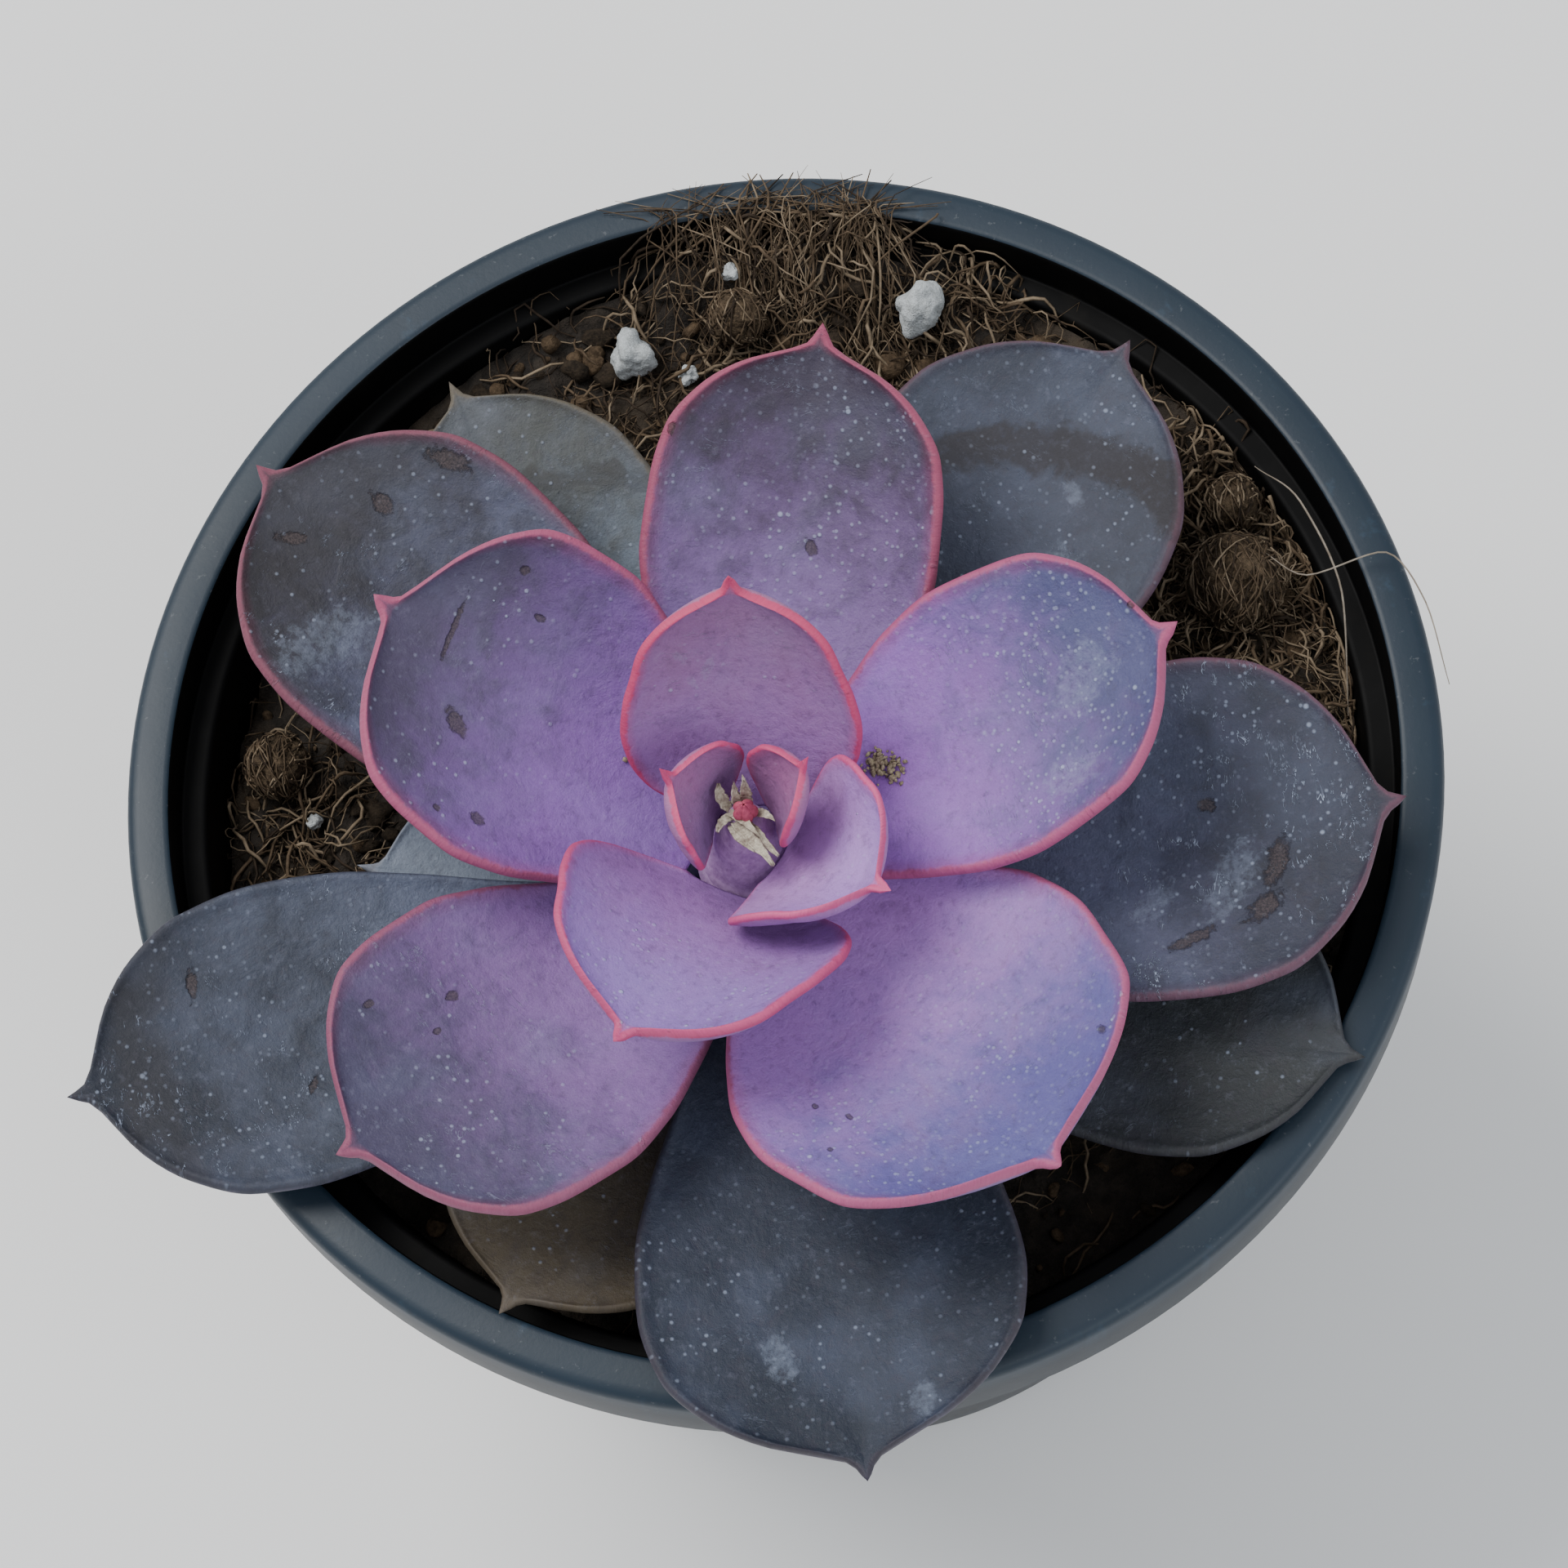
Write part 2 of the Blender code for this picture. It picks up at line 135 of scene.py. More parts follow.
# Each leaf's colours: near the stem, towards the tip, and along the rim
LEAF_COLOURS = {
    "heart_leaf_1": ((0.30, 0.14, 0.30), (0.36, 0.13, 0.29), (0.58, 0.06, 0.17)),
    "heart_leaf_2": ((0.29, 0.16, 0.34), (0.35, 0.14, 0.31), (0.58, 0.06, 0.17)),
    "heart_leaf_3": ((0.44, 0.23, 0.54), (0.42, 0.23, 0.62), (0.62, 0.08, 0.21)),
    "crown_leaf_1": ((0.36, 0.19, 0.47), (0.27, 0.13, 0.28), (0.56, 0.05, 0.14)),
    "crown_leaf_2": ((0.31, 0.155, 0.42), (0.27, 0.16, 0.47), (0.52, 0.06, 0.16)),
    "middle_leaf_1": ((0.35, 0.15, 0.55), (0.072, 0.074, 0.18), (0.40, 0.075, 0.17)),
    "middle_leaf_2": ((0.26, 0.12, 0.44), (0.064, 0.051, 0.098), (0.37, 0.075, 0.155)),
    "middle_leaf_3": ((0.43, 0.22, 0.59), (0.10, 0.090, 0.29), (0.41, 0.085, 0.18)),
    "middle_leaf_4": ((0.27, 0.155, 0.42), (0.036, 0.026, 0.046), (0.32, 0.06, 0.12)),
    "middle_leaf_5": ((0.29, 0.15, 0.42), (0.055, 0.048, 0.095), (0.28, 0.07, 0.13)),
    "outer_leaf_1": ((0.10, 0.105, 0.185), (0.024, 0.028, 0.046), (0.13, 0.05, 0.08)),
    "outer_leaf_2": ((0.15, 0.165, 0.29), (0.021, 0.021, 0.029), (0.20, 0.055, 0.09)),
    "outer_leaf_3": ((0.034, 0.043, 0.066), (0.0115, 0.0175, 0.031), (0.045, 0.032, 0.045)),
    "outer_leaf_4": ((0.085, 0.10, 0.155), (0.031, 0.037, 0.056), (0.10, 0.045, 0.065)),
    "outer_leaf_5": ((0.125, 0.15, 0.22), (0.0105, 0.0145, 0.025), (0.035, 0.032, 0.045)),
    "outer_leaf_6": ((0.042, 0.046, 0.053), (0.022, 0.026, 0.029), (0.035, 0.03, 0.035)),
    "old_leaf_1": ((0.21, 0.28, 0.38), (0.067, 0.072, 0.070), (0.13, 0.10, 0.06)),
    "old_leaf_2": ((0.08, 0.068, 0.055), (0.085, 0.068, 0.045), (0.10, 0.075, 0.05)),
    "old_leaf_3": ((0.21, 0.25, 0.32), (0.21, 0.25, 0.32), (0.20, 0.19, 0.20)),
}

# Each leaf's rim width (mm), rim strength, specks, cracks, stains and dullness
LEAF_MARKS = {
    "heart_leaf_1": (0.32, 1.0, 0.1, 0.0, 0.0, 0.0),
    "heart_leaf_2": (0.32, 1.0, 0.1, 0.0, 0.0, 0.0),
    "heart_leaf_3": (0.42, 1.0, 0.3, 0.1, 0.0, 0.0),
    "crown_leaf_1": (0.42, 1.0, 0.1, 0.2, 0.1, 0.1),
    "crown_leaf_2": (0.5, 1.0, 0.9, 0.1, 0.0, 0.1),
    "middle_leaf_1": (0.6, 1.0, 1.0, 0.3, 0.0, 0.1),
    "middle_leaf_2": (0.6, 1.0, 0.2, 0.1, 0.1, 0.2),
    "middle_leaf_3": (0.6, 1.0, 1.0, 0.2, 0.0, 0.1),
    "middle_leaf_4": (0.6, 1.0, 0.6, 0.2, 0.1, 0.3),
    "middle_leaf_5": (0.6, 0.9, 0.3, 0.3, 0.1, 0.3),
    "outer_leaf_1": (0.5, 0.8, 0.4, 1.0, 0.3, 0.5),
    "outer_leaf_2": (0.6, 1.0, 0.2, 0.7, 0.3, 0.5),
    "outer_leaf_3": (0.4, 0.5, 0.3, 0.1, 0.1, 0.7),
    "outer_leaf_4": (0.4, 0.7, 0.3, 0.2, 0.2, 0.5),
    "outer_leaf_5": (0.3, 0.4, 0.4, 0.6, 0.2, 0.6),
    "outer_leaf_6": (0.3, 0.3, 0.1, 0.1, 0.2, 0.9),
    "old_leaf_1": (0.5, 0.6, 0.2, 0.2, 0.3, 0.8),
    "old_leaf_2": (0.5, 0.4, 0.1, 0.2, 0.5, 1.0),
    "old_leaf_3": (0.4, 0.4, 0.1, 0.1, 0.1, 0.8),
}

# Brown scabs on leaves, in blade millimetres: along, across, radius, stretch, turn (degrees)
SCABS = {
    "outer_leaf_1": (
        (41, -4, 2.3, 0.40, 70),
        (35.7, 2.3, 0.8, 0.7, 0),
        (33, -10, 2.4, 0.25, 20),
        (39.5, -8, 1.9, 0.5, 30),
    ),
    "outer_leaf_2": (
        (43, -12, 2.2, 0.4, 20),
        (45, -5, 1.2, 0.7, 0),
        (49, 3, 1.4, 0.4, 40),
        (33, -9, 1.0, 0.7, 0),
    ),
    "outer_leaf_4": ((30, 8, 1.0, 0.6, 0),),
    "outer_leaf_5": ((46, -7, 1.5, 0.3, 80), (38, 5, 0.9, 0.4, 60)),
    "middle_leaf_2": (
        (24, 4.5, 1.6, 0.45, -20),
        (29, -2, 2.8, 0.10, -75),
        (27.2, -10, 0.5, 0.8, 0),
        (23.4, -7.5, 0.5, 0.7, 0),
        (18, 11, 0.8, 0.7, 0),
        (21.6, 12.6, 0.4, 0.8, 0),
    ),
    "middle_leaf_3": (
        (18, -11, 0.35, 0.7, 0),
        (21, -9.5, 0.35, 0.7, 0),
        (23, -13, 0.3, 0.8, 0),
        (31, 11, 0.5, 0.7, 0),
    ),
    "middle_leaf_4": ((25, -1.6, 0.8, 0.6, 30), (34, 12.3, 0.6, 0.6, 0)),
    "middle_leaf_5": ((24, -7, 0.6, 0.7, 0), (27, -5, 0.4, 0.7, 0), (31, -10, 0.5, 0.7, 0)),
    "old_leaf_1": ((52.5, -5, 3.2, 0.30, 70), (45, 2, 1.8, 0.3, 50)),
    "middle_leaf_1": ((36, 3.4, 0.5, 0.7, 0),),
}

# Pale smudges on leaves: along, across, radius, stretch, turn
SMUDGES = {
    "outer_leaf_1": ((37, -5, 4.2, 0.45, 60), (30, -6, 2.5, 0.5, 40)),
    "outer_leaf_2": ((40, 8.5, 5.0, 0.55, 70),),
    "outer_leaf_3": ((38, -5.5, 2.4, 0.6, 20), (44, 6, 1.6, 0.7, 0)),
    "outer_leaf_4": ((42.2, -3.8, 1.5, 0.55, 60), (33, -7, 4.5, 0.6, 10)),
    "outer_leaf_5": ((30, -5, 4.0, 0.5, 40),),
    "crown_leaf_1": ((16.5, 4.9, 1.0, 0.5, 30), (14.8, 2.6, 1.3, 0.4, -30), (13.3, 4.0, 0.8, 0.5, 10)),
    "middle_leaf_1": ((29, 0, 3.6, 0.7, 30), (25, -8, 3.0, 0.6, 0)),
    "old_leaf_1": ((36, 3, 5.0, 0.5, 80),),
}

# A brown band across a leaf: place along the midrib, slope, bend, half-width, strength
BANDS = {
    "outer_leaf_4": (45.0, -0.45, -0.030, 2.6, 0.85),
    "outer_leaf_2": (50.0, -0.25, -0.010, 6.5, 0.35),
    "old_leaf_1": (43.0, 0.55, 0.0, 1.6, 0.45),
    "outer_leaf_5": (52.0, 0.10, -0.010, 3.0, 0.35),
}

# Crumbs on leaves: leaf, share of its length, place across it, how many
DUST_SPOTS = (
    ("middle_leaf_1", 0.235, 0.24, 90),
    ("middle_leaf_1", 0.26, 0.10, 50),
    ("middle_leaf_2", 0.24, -0.25, 18),
)

# Dry, coarse surfaces: dark and light colour, grains per metre, roughness, depth (mm)
COARSE_LOOKS = {
    "Peat crumbs": ((0.008, 0.006, 0.0045), (0.040, 0.029, 0.019), 900, 0.95, 0.3),
    "Bark crumbs": ((0.025, 0.016, 0.009), (0.11, 0.075, 0.045), 800, 0.9, 0.3),
    "Coir clod": ((0.020, 0.014, 0.009), (0.12, 0.085, 0.052), 900, 0.95, 0.5),
    "coir_dark": ((0.012, 0.008, 0.005), (0.050, 0.034, 0.022), 300, 0.8, 0.05),
    "coir_brown": ((0.045, 0.030, 0.018), (0.13, 0.092, 0.058), 300, 0.8, 0.05),
    "coir_straw": ((0.12, 0.088, 0.055), (0.27, 0.21, 0.145), 300, 0.8, 0.05),
    "Hair root": ((0.16, 0.13, 0.10), (0.32, 0.28, 0.23), 300, 0.7, 0.05),
    "White grain": ((0.36, 0.38, 0.38), (0.62, 0.66, 0.68), 1300, 0.95, 0.4),
    "Stem flesh": ((0.27, 0.15, 0.32), (0.46, 0.30, 0.52), 500, 0.6, 0.15),
    "Bud skin": ((0.30, 0.045, 0.09), (0.58, 0.12, 0.19), 700, 0.5, 0.1),
    "Dry bract": ((0.20, 0.16, 0.13), (0.62, 0.58, 0.46), 900, 0.8, 0.2),
    "Leaf crumbs": ((0.09, 0.065, 0.045), (0.50, 0.42, 0.28), 1500, 0.9, 0.2),
}

# Steps along and across a blade's mesh
BLADE_STEPS = 88
ACROSS_STEPS = 44


# ---------------------------------------------------------------- settings


class PotSettings(bpy.types.PropertyGroup):
    """Looks of the nursery pot."""

    steps: IntProperty(name="Steps round", description="Faces round the pot", default=160, min=24)
    colour: FloatVectorProperty(
        name="Plastic",
        description="Colour of the moulded plastic",
        subtype="COLOR",
        size=3,
        default=(0.011, 0.024, 0.040),
    )


class MediumSettings(bpy.types.PropertyGroup):
    """The growing medium and what lies in it."""

    colour: FloatVectorProperty(
        name="Peat",
        description="Colour of the damp peat",
        subtype="COLOR",
        size=3,
        default=(0.010, 0.0075, 0.0055),
    )
    seed: IntProperty(name="Seed", description="Seed of the scatter", default=11)
    crumbs: IntProperty(name="Crumbs", description="Crumbs of each kind", default=650, min=0)
    fibres: IntProperty(name="Fibres", description="Loose coir fibres", default=2100, min=0)
    spilled_fibres: IntProperty(name="Spilled fibres", description="Fibres over the rim", default=150, min=0)


class LeafSettings(bpy.types.PropertyGroup):
    """Shape details that every leaf shares."""

    rim_radius: FloatProperty(
        name="Rim radius",
        description="Radius of the rounded margin",
        subtype="DISTANCE",
        unit="LENGTH",
        default=0.42 * MM,
    )
    rim_rise: FloatProperty(
        name="Rim rise",
        description="How far the margin stands above the blade",
        subtype="DISTANCE",
        unit="LENGTH",
        default=0.22 * MM,
    )


class StageSettings(bpy.types.PropertyGroup):
    """Floor, lights and camera."""

    floor_colour: FloatVectorProperty(
        name="Floor",
        description="Colour of the plain floor",
        subtype="COLOR",
        size=3,
        default=(0.86, 0.86, 0.86),
    )
    elevation: FloatProperty(
        name="Camera elevation",
        description="How far the camera looks down",
        subtype="ANGLE",
        unit="ROTATION",
        default=math.radians(69),
    )
    azimuth: FloatProperty(
        name="Camera azimuth",
        description="Where the camera stands round the pot",
        subtype="ANGLE",
        unit="ROTATION",
        default=math.radians(12.4),
    )


# ---------------------------------------------------------------- meshes


def finish_piece(name, bm, material, nodes=(), smooth=None):
    """Turns a bmesh into a named piece that rides on the body and stands for CAD nodes."""
    mesh = bpy.data.meshes.new(name)
    bm.to_mesh(mesh)
    bm.free()
    return finish_mesh(name, mesh, material, nodes, smooth)


def finish_mesh(name, mesh, material, nodes=(), smooth=None):
    mesh.materials.clear()
    mesh.materials.append(material)
    mesh.shade_smooth()
    if smooth is not None:
        mesh.set_sharp_from_angle(angle=math.radians(smooth))
    piece = bpy.data.objects.new(name, mesh)
    bpy.context.collection.objects.link(piece)
    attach(piece, BODY)
    if nodes:
        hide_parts(*nodes)
    return piece


def polar(heading, distance, height=0.0):
    turn = math.radians(heading)
    return Vector((distance * math.cos(turn), distance * math.sin(turn), height))


def smooth_curve(xs, ys, x):
    """Values at x of a smooth curve through points that never swings past them."""
    xs, ys, x = (np.asarray(values, float) for values in (xs, ys, x))
    steps = np.diff(xs)
    slopes = np.diff(ys) / steps
    tangents = np.zeros_like(ys)
    tangents[0], tangents[-1] = slopes[0], slopes[-1]
    same = slopes[:-1] * slopes[1:] > 0
    left, right = 2 * steps[1:] + steps[:-1], steps[1:] + 2 * steps[:-1]
    low = np.where(same, slopes[:-1], 1)
    high = np.where(same, slopes[1:], 1)
    tangents[1:-1] = np.where(same, (left + right) / (left / low + right / high), 0)
    i = np.clip(np.searchsorted(xs, x) - 1, 0, len(steps) - 1)
    t = (x - xs[i]) / steps[i]
    near = (1 + 2 * t) * (1 - t) ** 2 * ys[i] + t * (1 - t) ** 2 * steps[i] * tangents[i]
    far = t * t * (3 - 2 * t) * ys[i + 1] + t * t * (t - 1) * steps[i] * tangents[i + 1]
    return near + far


# ---------------------------------------------------------------- shader nodes


def put(tree, kind, inputs=None, **settings):
    """Adds a node; an input is a value or another node's socket."""
    node = tree.nodes.new(kind)
    for name, value in settings.items():
        setattr(node, name, value)
    for name, value in (inputs or {}).items():
        socket = node.inputs[name]
        if isinstance(value, bpy.types.NodeSocket):
            tree.links.new(value, socket)
        elif isinstance(value, tuple) and len(value) == 3 and socket.type == "RGBA":
            socket.default_value = (*value, 1)
        else:
            socket.default_value = value
    return node


def calc(tree, operation, a, b=0.0, c=0.0, clamp=False):
    node = put(tree, "ShaderNodeMath", {0: a, 1: b, 2: c}, operation=operation, use_clamp=clamp)
    return node.outputs[0]


def times(tree, a, b):
    return calc(tree, "MULTIPLY", a, b)


def plus(tree, a, b):
    return calc(tree, "ADD", a, b)


def minus(tree, a, b):
    return calc(tree, "SUBTRACT", a, b)


def between(tree, value, low, high):
    """0 below low, 1 above high, and a smooth step between; low may be above high."""
    inputs = {"Value": value, "From Min": low, "From Max": high}
    return put(tree, "ShaderNodeMapRange", inputs, interpolation_type="SMOOTHSTEP").outputs[0]


def blend(tree, factor, a, b, mode="MIX"):
    inputs = {0: factor, 6: a, 7: b}
    return put(tree, "ShaderNodeMix", inputs, data_type="RGBA", blend_type=mode).outputs[2]


def grain(tree, where, scale, detail=2.0, rough=0.5, distortion=0.0):
    inputs = {"Vector": where, "Scale": scale, "Detail": detail, "Roughness": rough, "Distortion": distortion}
    return put(tree, "ShaderNodeTexNoise", inputs).outputs["Fac"]


def cells(tree, where, scale, feature="F1"):
    inputs = {"Vector": where, "Scale": scale}
    return put(tree, "ShaderNodeTexVoronoi", inputs, feature=feature)


def new_group(name, inputs, outputs):
    """A node group with named sockets; inputs are (name, kind, default)."""
    group = bpy.data.node_groups.new(name, "ShaderNodeTree")
    for label, kind, default in inputs:
        socket = group.interface.new_socket(label, in_out="INPUT", socket_type=kind)
        socket.default_value = default
    for label, kind in outputs:
        group.interface.new_socket(label, in_out="OUTPUT", socket_type=kind)
    start = group.nodes.new("NodeGroupInput").outputs
    end = group.nodes.new("NodeGroupOutput").inputs
    return group, start, end


def use_group(tree, group, inputs):
    node = tree.nodes.new("ShaderNodeGroup")
    node.node_tree = group
    for name, value in inputs.items():
        if isinstance(value, bpy.types.NodeSocket):
            tree.links.new(value, node.inputs[name])
        elif isinstance(value, tuple) and node.inputs[name].type == "RGBA":
            node.inputs[name].default_value = (*value, 1)
        else:
            node.inputs[name].default_value = value
    return node.outputs


def new_material(name):
    material = bpy.data.materials.new(name)
    material.use_nodes = True
    tree = material.node_tree
    tree.nodes.clear()
    shader = tree.nodes.new("ShaderNodeBsdfPrincipled")
    out = tree.nodes.new("ShaderNodeOutputMaterial")
    tree.links.new(shader.outputs[0], out.inputs[0])
    return material, tree, shader


def bump(tree, shader, height, distance, strength=1.0):
    inputs = {"Height": height, "Distance": distance, "Strength": strength}
    tree.links.new(put(tree, "ShaderNodeBump", inputs).outputs[0], shader.inputs["Normal"])


COLOUR = "NodeSocketColor"
NUMBER = "NodeSocketFloat"


def spot_group():
    """A ragged spot on a blade: 1 inside and 0 outside."""
    group, given, out = new_group(
        "Leaf spot",
        (
            ("Along", NUMBER, 0.0),
            ("Across", NUMBER, 0.0),
            ("Radius", NUMBER, 1.0),
            ("Stretch", NUMBER, 1.0),
            ("Turn", NUMBER, 0.0),
        ),
        (("Mask", NUMBER),),
    )
    t = group
    blade = put(t, "ShaderNodeAttribute", attribute_name="blade").outputs["Vector"]
    split = put(t, "ShaderNodeSeparateXYZ", {0: blade})
    flat = put(t, "ShaderNodeCombineXYZ", {0: split.outputs[0], 1: split.outputs[1]}).outputs[0]
    x = minus(t, split.outputs[0], given["Along"])
    y = minus(t, split.outputs[1], given["Across"])
    cosine, sine = calc(t, "COSINE", given["Turn"]), calc(t, "SINE", given["Turn"])
    u = plus(t, times(t, x, cosine), times(t, y, sine))
    v = minus(t, times(t, y, cosine), times(t, x, sine))
    v = calc(t, "DIVIDE", v, given["Stretch"])
    reach = calc(t, "SQRT", plus(t, times(t, u, u), times(t, v, v)))
    reach = calc(t, "DIVIDE", reach, given["Radius"])
    ragged = minus(t, grain(t, flat, 0.9, 5, 0.7, 0.5), 0.5)
    reach = plus(t, reach, times(t, ragged, 2.4))
    t.links.new(between(t, reach, 1.15, 0.65), out["Mask"])
    return group


def leaf_skin_group():
    """Waxy skin: the blade's colours, its rim, bloom, specks, cracks, scabs and stains."""
    group, given, out = new_group(
        "Leaf skin",
        (
            ("Near", COLOUR, (0.3, 0.2, 0.5, 1)),
            ("Far", COLOUR, (0.1, 0.1, 0.2, 1)),
            ("Rim", COLOUR, (0.6, 0.1, 0.2, 1)),
            ("Rim width", NUMBER, 1.0),
            ("Rim strength", NUMBER, 1.0),
            ("Length", NUMBER, 40.0),
            ("Specks", NUMBER, 0.5),
            ("Cracks", NUMBER, 0.2),
            ("Stains", NUMBER, 0.2),
            ("Dullness", NUMBER, 0.2),
            ("Shift", NUMBER, 0.0),
            ("Scab", NUMBER, 0.0),
            ("Smudge", NUMBER, 0.0),
            ("Band place", NUMBER, 0.0),
            ("Band slope", NUMBER, 0.0),
            ("Band bend", NUMBER, 0.0),
            ("Band width", NUMBER, 1.0),
            ("Band strength", NUMBER, 0.0),
        ),
        (("Colour", COLOUR), ("Roughness", NUMBER), ("Height", NUMBER)),
    )
    t = group
    blade = put(t, "ShaderNodeAttribute", attribute_name="blade").outputs["Vector"]
    under = put(t, "ShaderNodeAttribute", attribute_name="under").outputs["Fac"]
    split = put(t, "ShaderNodeSeparateXYZ", {0: blade})
    along, across, margin = split.outputs
    place = put(t, "ShaderNodeCombineXYZ", {0: along, 1: across, 2: given["Shift"]}).outputs[0]
    share = calc(t, "DIVIDE", along, given["Length"])
    broad = grain(t, place, 0.09, 3, 0.55)
    cloudy = grain(t, place, 0.28, 5, 0.62, 0.4)
    mottle = grain(t, place, 1.1, 5, 0.7)
    fine = grain(t, place, 5.0, 4, 0.75)
    top = minus(t, 1.0, under)

    # Colour runs from the base to the tip, with a bluer bloom in drifts and a darker mottle
    reach = plus(t, share, times(t, minus(t, cloudy, 0.5), 0.55))
    colour = blend(t, between(t, reach, 0.15, 0.88), given["Near"], given["Far"])
    bloom = times(t, between(t, broad, 0.42, 0.72), 0.10)
    colour = blend(t, bloom, colour, (0.26, 0.32, 0.50))
    dusty = times(t, between(t, mottle, 0.52, 0.74), 0.07)
    colour = blend(t, dusty, colour, (0.50, 0.50, 0.66))
    deep = times(t, between(t, mottle, 0.50, 0.30), 0.26)
    colour = blend(t, deep, colour, (0.035, 0.026, 0.045))
    deep = times(t, between(t, cloudy, 0.50, 0.25), 0.25)
    colour = blend(t, deep, colour, (0.03, 0.025, 0.04))

    # Brown stains towards the tip, and a brown band
    stain_noise = grain(t, place, 0.16, 6, 0.68, 0.8)
    stain = times(t, between(t, stain_noise, 0.50, 0.66), given["Stains"])
    stain = times(t, stain, between(t, share, 0.30, 0.75))
    centre = calc(t, "MULTIPLY_ADD", across, given["Band slope"], given["Band place"])
    centre = plus(t, centre, times(t, times(t, across, across), given["Band bend"]))
    centre = plus(t, centre, times(t, minus(t, cloudy, 0.5), 7.0))
    off = calc(t, "DIVIDE", calc(t, "ABSOLUTE", minus(t, along, centre)), given["Band width"])
    band = times(t, between(t, off, 1.15, 0.55), given["Band strength"])
    stain = calc(t, "MAXIMUM", stain, times(t, band, between(t, mottle, 0.20, 0.50)))
    stain = times(t, stain, top)
    colour = blend(t, times(t, stain, 0.8), colour, (0.034, 0.029, 0.028))

    # Pale smudges
    smudge = times(t, given["Smudge"], between(t, mottle, 0.30, 0.62))
    smudge = times(t, smudge, top)
    colour = blend(t, times(t, smudge, 0.20), colour, (0.32, 0.38, 0.50))

    # The blade turns pinker beside its rim
    halo_width = times(t, given["Rim width"], 3.6)
    wander = times(t, minus(t, cloudy, 0.5), 1.4)
    near_edge = plus(t, margin, wander)
    halo = times(t, between(t, near_edge, halo_width, 0.0), given["Rim strength"])
    colour = blend(t, times(t, halo, 0.36), colour, given["Rim"])
    rim_noise = times(t, minus(t, mottle, 0.5), 0.9)
    rim_place = plus(t, plus(t, margin, times(t, wander, 0.25)), rim_noise)
    rim = between(t, rim_place, times(t, given["Rim width"], 1.25), times(t, given["Rim width"], 0.35))
    rim = times(t, rim, given["Rim strength"])

    # Raised pale specks, large and small
    spot = cells(t, place, 0.62)
    size = put(t, "ShaderNodeSeparateColor", {0: spot.outputs["Color"]})
    wanted = calc(t, "LESS_THAN", size.outputs[0], times(t, given["Specks"], 0.9))
    radius = calc(t, "MULTIPLY_ADD", size.outputs[1], 0.15, 0.07)
    dot = between(t, spot.outputs["Distance"], radius, times(t, radius, 0.4))
    patch = between(t, grain(t, place, 0.12, 2), 0.42, 0.60)
    region = times(t, between(t, share, 0.25, 0.60), patch)
    dot = times(t, times(t, dot, wanted), region)
    dot = times(t, dot, calc(t, "MULTIPLY_ADD", size.outputs[2], 0.6, 0.35))
    small = cells(t, place, 1.35)
    small_size = put(t, "ShaderNodeSeparateColor", {0: small.outputs["Color"]})
    small_dot = between(t, small.outputs["Distance"], 0.34, 0.12)
    small_dot = times(t, small_dot, calc(t, "LESS_THAN", small_size.outputs[0], given["Specks"]))
    wide_region = calc(t, "MAXIMUM", region, times(t, between(t, share, 0.2, 0.5), 0.35))
    small_dot = times(t, times(t, small_dot, wide_region), 0.42)
    specks = calc(t, "MAXIMUM", dot, small_dot, clamp=True)

    # Jagged pale cracks that run across the blade
    stretch = put(t, "ShaderNodeMapping", {"Vector": place, "Scale": (1.0, 0.30, 1.0)}).outputs[0]
    ridge = grain(t, stretch, 0.62, 4, 0.7, 0.5)
    line = between(t, calc(t, "ABSOLUTE", minus(t, ridge, 0.5)), 0.012, 0.002)
    broken = between(t, grain(t, place, 0.42, 2), 0.50, 0.60)
    where = between(t, grain(t, place, 0.10, 2), 0.40, 0.60)
    line = times(t, times(t, line, broken), where)
    line = times(t, times(t, line, given["Cracks"]), between(t, share, 0.30, 0.50))

    marks = times(t, calc(t, "MAXIMUM", specks, line), top)
    colour = blend(t, times(t, marks, 0.62), colour, (0.52, 0.60, 0.78))
    pinker = blend(t, 0.25, colour, given["Rim"])
    lilac = blend(t, 0.35, pinker, (0.30, 0.25, 0.44))
    colour = blend(t, times(t, under, minus(t, 1.0, given["Dullness"])), colour, lilac)
    colour = blend(t, times(t, rim, 0.85), colour, given["Rim"])
    scab = times(t, given["Scab"], top)
    brown = blend(t, between(t, fine, 0.35, 0.65), (0.020, 0.015, 0.016), (0.085, 0.062, 0.060))
    colour = blend(t, times(t, scab, 0.72), colour, brown)
    value = calc(t, "MULTIPLY_ADD", fine, 0.44, 0.78)
    tone = put(t, "ShaderNodeCombineXYZ", {0: value, 1: value, 2: value}).outputs[0]
    colour = blend(t, 1.0, colour, tone, "MULTIPLY")
    t.links.new(colour, out["Colour"])

    rough = calc(t, "MULTIPLY_ADD", mottle, 0.30, 0.40)
    rough = plus(t, rough, times(t, calc(t, "MAXIMUM", stain, scab), 0.25))
    t.links.new(plus(t, rough, times(t, marks, -0.08)), out["Roughness"])
    height = times(t, fine, 0.16)
    height = plus(t, height, times(t, mottle, 0.40))
    height = plus(t, height, times(t, cloudy, 0.9))
    height = plus(t, height, times(t, marks, 0.50))
    height = minus(t, height, times(t, stain, 0.20))
    t.links.new(minus(t, height, times(t, scab, 0.55)), out["Height"])
    return group


def spots(tree, group, places):
    """The mask of all spots in a list."""
    mask = None
    for along, across, radius, stretch, turn in places:
        inputs = {"Along": along, "Across": across, "Radius": radius, "Stretch": stretch}
        inputs["Turn"] = math.radians(turn)
        made = use_group(tree, group, inputs)["Mask"]
        mask = made if mask is None else calc(tree, "MAXIMUM", mask, made)
    return 0.0 if mask is None else mask


